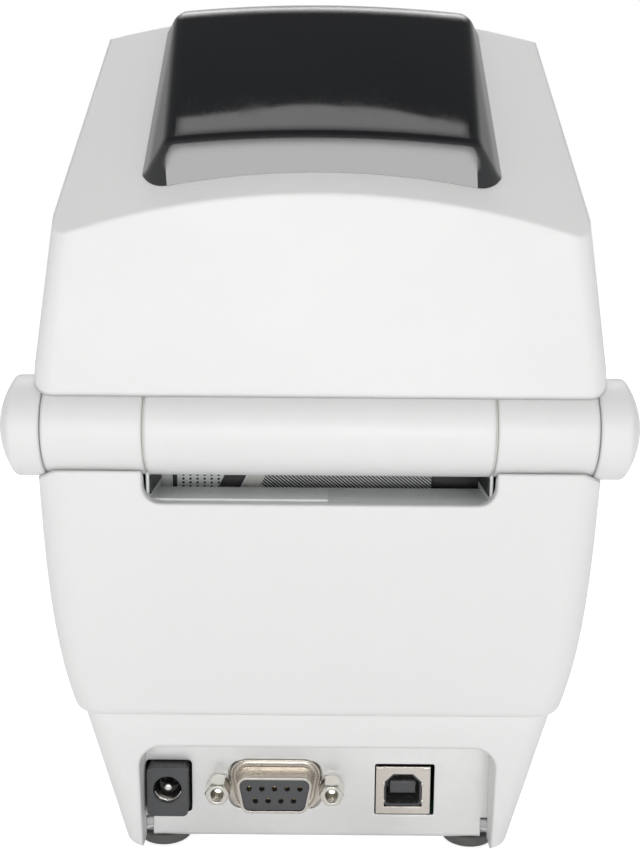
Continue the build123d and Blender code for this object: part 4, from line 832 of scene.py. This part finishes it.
fit("slot_deflector", slot_deflector(), "cover", "grey_plastic")
dark_pads = [
    moved(slanted(width, lean), (x, face_y, pad_low_z))
    for x, width, lean in ((35.0, 1.9, 0.0), (30.7, 0.9, 0.0), (18.0, 4.6, -2.6), (-29.0, 10.5, 0.0))
]
fit("deflector_pads", joined("deflector_pads", dark_pads), "cover", "black_plastic")
pale_strip = moved(slanted(3.4, -2.6, 0.5), (13.3, face_y + 0.15, pad_low_z))
fit("deflector_strip", pale_strip, "cover", "gear_plastic")
fit_rows(
    "deflector_studs", block("stud", (0.45, 0.5, 0.36), 0.06), "cover", "black_plastic",
    (28.9, face_y - 0.1, pad_low_z + 0.4), along=(6, (-1.5, 0, 0)), across=(6, (0, 0, 0.82)),
)
hatch_step, hatch_count, hatch_lean = 0.85, 45, 6.5
fit_rows(
    "deflector_hatch", slanted(0.4, hatch_lean, 0.4), "cover", "black_plastic",
    (14.0, face_y, pad_low_z), along=(hatch_count, (-hatch_step, 0, 0)),
)


def lip_cover_plate():
    """The thicker half of the lip, whose edge catches the light."""
    low_x, high_x, front_y, rear_y = -1.7, lip_high.x - 0.2, 90.2, lip_high.y - 0.9
    mesh = block("lip_plate", (high_x - low_x, rear_y - front_y, 0.5), 0.18)
    return moved(mesh, ((high_x + low_x) / 2, (rear_y + front_y) / 2, lip_high.z + 0.2))


def slot_sides(name, x, front_y, rear_y, mid_z, thickness, height, bevel):
    """A bar from front to rear at each side of the slot."""
    bars = []
    for side in (-1, 1):
        bar = block("bar", (thickness, rear_y - front_y, height), bevel)
        bars.append(moved(bar, (side * x, (rear_y + front_y) / 2, mid_z)))
    return joined(name, bars)


fit("lip_plate", lip_cover_plate(), "chassis", "grey_plastic")
side_walls = slot_sides(
    "lip_side_walls", x=lip_high.x - 0.1, front_y=84.0, rear_y=lip_high.y - 0.5,
    mid_z=lip_high.z + 2.4, thickness=0.6, height=7.0, bevel=0.2,
)
fit("lip_side_walls", side_walls, "chassis", "grey_plastic")
side_pads = slot_sides(
    "lip_side_pads", x=lip_high.x - 0.5, front_y=85.0, rear_y=lip_high.y - 1.2,
    mid_z=lip_high.z + 2.95, thickness=0.3, height=3.5, bevel=0.1,
)
fit("lip_side_pads", side_pads, "chassis", "black_plastic")


def hinge_washers():
    """Thin washers between the barrel and its knuckles."""
    inner_x, outer_x = box_mm("hinge_barrel")[1].x, box_mm("hinge_knuckle_left")[0].x
    _, hinge_y, hinge_z = middle_mm("hinge_cap_left")
    washer_r, pin_r, gap = 9.2, 3.1, outer_x - inner_x
    path = [
        (pin_r, 0.04), (washer_r - 0.1, 0.04), (washer_r, 0.12), (washer_r, gap - 0.12),
        (washer_r - 0.1, gap - 0.04), (pin_r, gap - 0.04),
    ]
    washers = []
    for start_x in (inner_x, -outer_x):
        washer = lathe("washer", path, 64, "looped")
        washers.append(moved(washer, (start_x, hinge_y, hinge_z), (0, 90, 0)))
    return joined("hinge_washers", washers)


fit("hinge_washers", hinge_washers(), "chassis", "gear_plastic")


# Front: saw teeth on the tear bar, ribs on the latch tabs, a ring on the button

bar_low, bar_high = box_mm("tear_bar")


def saw_tooth():
    """One tooth, which points up and leans to the front."""
    outline = [(-0.46, 0.0), (0.46, 0.0), (0.06, 1.1), (-0.06, 1.1)]
    return moved(plate("saw_tooth", outline, 0.35, 0.03, 1), turn=(118, 0, 0))


tooth_count = int(bar_high.x - bar_low.x) - 2
fit_rows(
    "tear_teeth", saw_tooth(), "chassis", "blade_steel",
    (-(tooth_count - 1) / 2, bar_low.y + 1.25, bar_high.z - 0.35), along=(tooth_count, (1.0, 0, 0)),
)

latch_low, latch_high = box_mm("latch_frame")
tab_mid_z = 91.0


def tab_rib():
    """An upright rib with rounded ends, for a thumb to grip."""
    profile = [(0.02, -2.1), (0.3, -1.95), (0.36, -1.6), (0.36, 1.6), (0.3, 1.95), (0.02, 2.1)]
    return lathe("tab_rib", profile, 12)


ribs = []
for side in (latch_low.x, latch_high.x):
    inside = side - math.copysign(0.16, side)
    ribs.append(rows(
        "tab_ribs", tab_rib(), "grey_plastic", (inside, latch_low.y + 1.0, tab_mid_z),
        along=(4, (0, 1.3, 0)),
    ))
fit("latch_tab_ribs", joined("latch_tab_ribs", ribs), "latch", slot_of["latch_frame"])

button_front_y = box_mm("feed_button")[0].y
button_x, _, button_z = middle_mm("feed_button")
ring_path = [(3.7, -0.3), (3.7, 0.02), (3.85, 0.16), (4.1, 0.16), (4.25, 0.02), (4.25, -0.3)]
button_ring = lathe("button_ring", ring_path, 48, "looped")
moved(button_ring, (button_x, button_front_y + 0.1, button_z), (90, 0, 0))
fit("button_ring", button_ring, "button", slot_of["feed_button"])


# Print head: the glazed line that heats, its gold tracks and the cover of its driver chips

ceramic_low, ceramic_high = box_mm("head_ceramic")
ceramic_mid_y = middle_mm("head_ceramic").y
track_half = ceramic_high.x - 2.5


def under_ceramic(name, width, length, height, offset_y):
    """A rounded bar along X that stands down from the ceramic's face."""
    place = (0.0, ceramic_mid_y + offset_y, ceramic_low.z - height / 2 + 0.02)
    return moved(block(name, (width, length, height), 0.3 * height), place)


heater = under_ceramic("heater", width=2 * track_half, length=0.8, height=0.12, offset_y=0.0)
fit("head_heater_line", heater, "print_head", "chip_black")
drivers = under_ceramic("drivers", width=2 * track_half, length=3.2, height=0.6, offset_y=4.8)
fit("head_driver_cover", drivers, "print_head", "chip_black")
track = under_ceramic("track", width=0.6, length=2.6, height=0.06, offset_y=1.9)
track_count, track_step = 37, 1.5
fit_rows(
    "head_tracks", track, "print_head", "contact_gold",
    (-(track_count - 1) / 2 * track_step, 0.0, 0.0), along=(track_count, (track_step, 0, 0)),
)


# Print chassis: the motor's eared flange, the seams of its can, and the screws of both

motor_low, motor_high = box_mm("stepper_motor")
motor_r = (motor_high.z - motor_low.z) / 2
motor_y, motor_z = motor_high.y - motor_r, motor_high.z - motor_r
chassis_low, chassis_high = box_mm("print_chassis")
flange_x = chassis_high.x - 3.08
ear_reach, ear_r, ear_turn = 20.0, 3.2, math.radians(-40.0)
ear_y, ear_z = ear_reach * math.cos(ear_turn), ear_reach * math.sin(ear_turn)


def motor_flange():
    """A plate round the can's boss with an ear on each side, in the plane of the chassis wall."""
    boss_hole_r = 6.8
    points = []
    for y, z, radius in ((0.0, 0.0, motor_r + 0.3), (ear_y, ear_z, ear_r), (-ear_y, -ear_z, ear_r)):
        for i in range(48):
            turn = 2 * math.pi * i / 48
            points.append(Vector((-z - radius * math.sin(turn), y + radius * math.cos(turn))))
    outline = [points[i] for i in convex_hull_2d(points)]
    hole = [point.normalized() * boss_hole_r for point in outline]
    edge = [point * 0.993 for point in outline]
    levels = ((edge, 0.0), (outline, 0.12), (outline, 0.88), (edge, 1.0), (hole, 1.0), (hole, 0.0))
    rings = [[(point.x, point.y, height) for point in ring] for ring, height in levels]
    mesh = skin("motor_flange", rings, "looped")
    return moved(mesh, (flange_x, motor_y, motor_z), (0, 90, 0))


def motor_seams():
    """The rolled beads at the can's ends and the wider seam between its two halves."""
    rings = []
    for start, width in ((0.5, 1.2), (7.6, 5.0), (19.0, 1.2)):
        path = [
            (motor_r - 0.3, 0.0), (motor_r + 0.12, 0.0), (motor_r + 0.24, 0.12),
            (motor_r + 0.24, width - 0.12), (motor_r + 0.12, width), (motor_r - 0.3, width),
        ]
        ring = lathe("seam", path, 72, "looped")
        rings.append(moved(ring, (motor_low.x + start, motor_y, motor_z), (0, 90, 0)))
    return joined("motor_seams", rings)


fit("motor_flange", motor_flange(), "chassis", "zinc_sheet")
fit("motor_seams", motor_seams(), "chassis", "motor_can")
motor_screw = cross_screw(head_r=2.5, head_height=1.3, shank_r=1.2, length=2.8)
fit_rows(
    "motor_screws", motor_screw, "chassis", "screw_steel",
    (flange_x, motor_y - ear_y, motor_z - ear_z), along=(2, (0, 2 * ear_y, 2 * ear_z)),
    turn=(0, 90, 0), spin=60.0, seed=17,
)
foot_screw = cross_screw(head_r=2.7, head_height=1.4, shank_r=1.2, length=2.4)
foot_screw_x, foot_screw_y = chassis_high.x - 8.0, chassis_high.y - 6.0
fit_rows(
    "chassis_screws", foot_screw, "chassis", "screw_steel",
    (-foot_screw_x, foot_screw_y, chassis_low.z + 2.0), along=(2, (2 * foot_screw_x, 0, 0)),
    across=(2, (0, -28.0, 0)), turn=(180, 0, 0), spin=80.0, seed=23,
)


# Main board: chip legs and small parts

board_low, board_high = box_mm("main_board")
board_top_z, chip_mid_y, chip_half = board_high.z, board_low.y + 50.0, 10.0


def chip_leg():
    """A gull-wing leg that points along Y."""
    side = [
        (0.0, 0.9), (0.5, 0.9), (0.75, 0.72), (0.9, 0.12), (1.5, 0.12), (1.5, 0.0), (0.8, 0.0),
        (0.6, 0.6), (0.45, 0.76), (0.0, 0.76),
    ]
    return skin("chip_leg", [[(x, *point) for point in side] for x in (-0.14, 0.14)])


leg_count, leg_step = 22, 0.8
leg_rows = []
for turn in (0.0, 90.0, 180.0, 270.0):
    c, s = math.cos(math.radians(turn)), math.sin(math.radians(turn))
    first = -(leg_count - 1) / 2 * leg_step
    start = (first * c - chip_half * s, chip_mid_y + first * s + chip_half * c, board_top_z)
    leg_rows.append(rows(
        "chip_legs", chip_leg(), "contact_metal", start,
        along=(leg_count, (leg_step * c, leg_step * s, 0)), turn=(0, 0, turn),
    ))
fit("chip_legs", joined("chip_legs", leg_rows), "chassis", "contact_metal")
capacitor = moved(block("capacitor", (1.6, 0.8, 0.7), 0.1), (0, 0, 0.35))
fit_rows(
    "board_capacitors", capacitor, "chassis", "bushing_plastic", (-32.0, 48.0, board_top_z),
    along=(9, (3.4, 0, 0)), across=(3, (0, 4.2, 0)), spin=3.0, seed=3,
)


# Camera, floor, room and lamps

def add_camera():
    data = bpy.data.cameras.new("camera")
    data.lens = 47.7
    data.sensor_width = 36.0
    data.clip_end = 20.0
    camera = bpy.data.objects.new("camera", data)
    camera.location = (0.0, 0.3142, 0.1365)
    aim = Euler((math.radians(80.2), 0.0, math.pi)).to_matrix()
    roll = Euler((0.0, 0.0, math.radians(0.45))).to_matrix()
    camera.rotation_euler = (aim @ roll).to_euler()
    bpy.context.scene.collection.objects.link(camera)
    bpy.context.scene.camera = camera


FLOOR_GLOW, FLOOR_MIRRORED = 0.72, 0.32
ROOM_SIDES, ROOM_TOP = 0.8, 0.16


def floor_glow(g):
    """The floor's own white: full for the camera, less for a ray that metal or glass sends on."""
    path = g.make("ShaderNodeLightPath")
    sent_on = g.math("MAXIMUM", path.outputs["Is Glossy Ray"], path.outputs["Is Transmission Ray"])
    sent_on = g.math("MULTIPLY", sent_on, FLOOR_MIRRORED)
    return g.math("MAXIMUM", g.math("MULTIPLY", path.outputs["Is Camera Ray"], FLOOR_GLOW), sent_on)


def floor_paper():
    """A white sheet that takes the printer's shadow, and that is clear when seen from below."""
    material, g, shader, place = new_finish("floor_paper")
    slow = use_group(g, surface_patches, {"Vector": place, "Patch Scale": 6.0})
    below = g.make("ShaderNodeNewGeometry").outputs["Backfacing"]
    g.give(shader.inputs, {
        "Base Color": g.mix(slow["Flow"], rgba((0.89, 0.89, 0.89)), rgba((0.91, 0.91, 0.91))),
        "Roughness": 0.9, "Emission Color": rgba((1.0, 1.0, 1.0)), "Emission Strength": floor_glow(g),
        "Alpha": g.math("SUBTRACT", 1.0, below),
    })
    return material


def add_floor():
    half = 4.0
    mesh = bpy.data.meshes.new("floor")
    corners = [(-half, -half, 0), (half, -half, 0), (half, half, 0), (-half, half, 0)]
    mesh.from_pydata(corners, [], [(0, 1, 2, 3)])
    mesh.materials.append(floor_paper())
    floor = bpy.data.objects.new("floor", mesh)
    bpy.context.scene.collection.objects.link(floor)


def light_room():
    """White where the camera looks. Else a soft room, brighter at the sides than overhead."""
    world = bpy.data.worlds.new("studio")
    bpy.context.scene.world = world
    world.use_nodes = True
    world.node_tree.nodes.clear()
    g = Graph(world.node_tree)
    direction = g.make("ShaderNodeSeparateXYZ", {0: g.make("ShaderNodeTexCoord").outputs["Generated"]})
    level = g.ramp(direction.outputs["Z"], 0.25, 0.8, ROOM_SIDES, ROOM_TOP)
    room = g.make("ShaderNodeBackground", {"Color": rgba((1.0, 1.0, 1.0)), "Strength": level})
    seen = g.make("ShaderNodeBackground", {"Color": rgba((1.0, 1.0, 1.0)), "Strength": 1.0})
    camera_ray = g.make("ShaderNodeLightPath").outputs["Is Camera Ray"]
    either = g.make("ShaderNodeMixShader", {0: camera_ray, 1: room.outputs[0], 2: seen.outputs[0]})
    g.make("ShaderNodeOutputWorld", {"Surface": either.outputs[0]})


def lamp(name, place, target, size, radiance):
    """An area lamp at place that points at target, as bright as radiance says."""
    data = bpy.data.lights.new(name, "AREA")
    data.shape = "RECTANGLE"
    data.size, data.size_y = size
    data.energy = radiance * math.pi * size[0] * size[1]
    made = bpy.data.objects.new(name, data)
    made.location = place
    made.rotation_euler = (Vector(target) - Vector(place)).to_track_quat("-Z", "Y").to_euler()
    bpy.context.scene.collection.objects.link(made)


add_camera()
add_floor()
light_room()
lamp("rear_softbox", (0.0, 1.0, 0.13), target=(0.0, 0.1, 0.13), size=(0.5, 0.24), radiance=8.0)
lamp("overhead_strip", (0.0, -0.1215, 1.5), target=(0.0, 0.09, 0.15), size=(1.2, 0.076), radiance=1.7)
lamp("front_panel", (0.0, -0.75, 1.2), target=(0.0, 0.0, 0.15), size=(1.2, 0.5), radiance=5.0)

bpy.context.scene.view_settings.view_transform = "Standard"
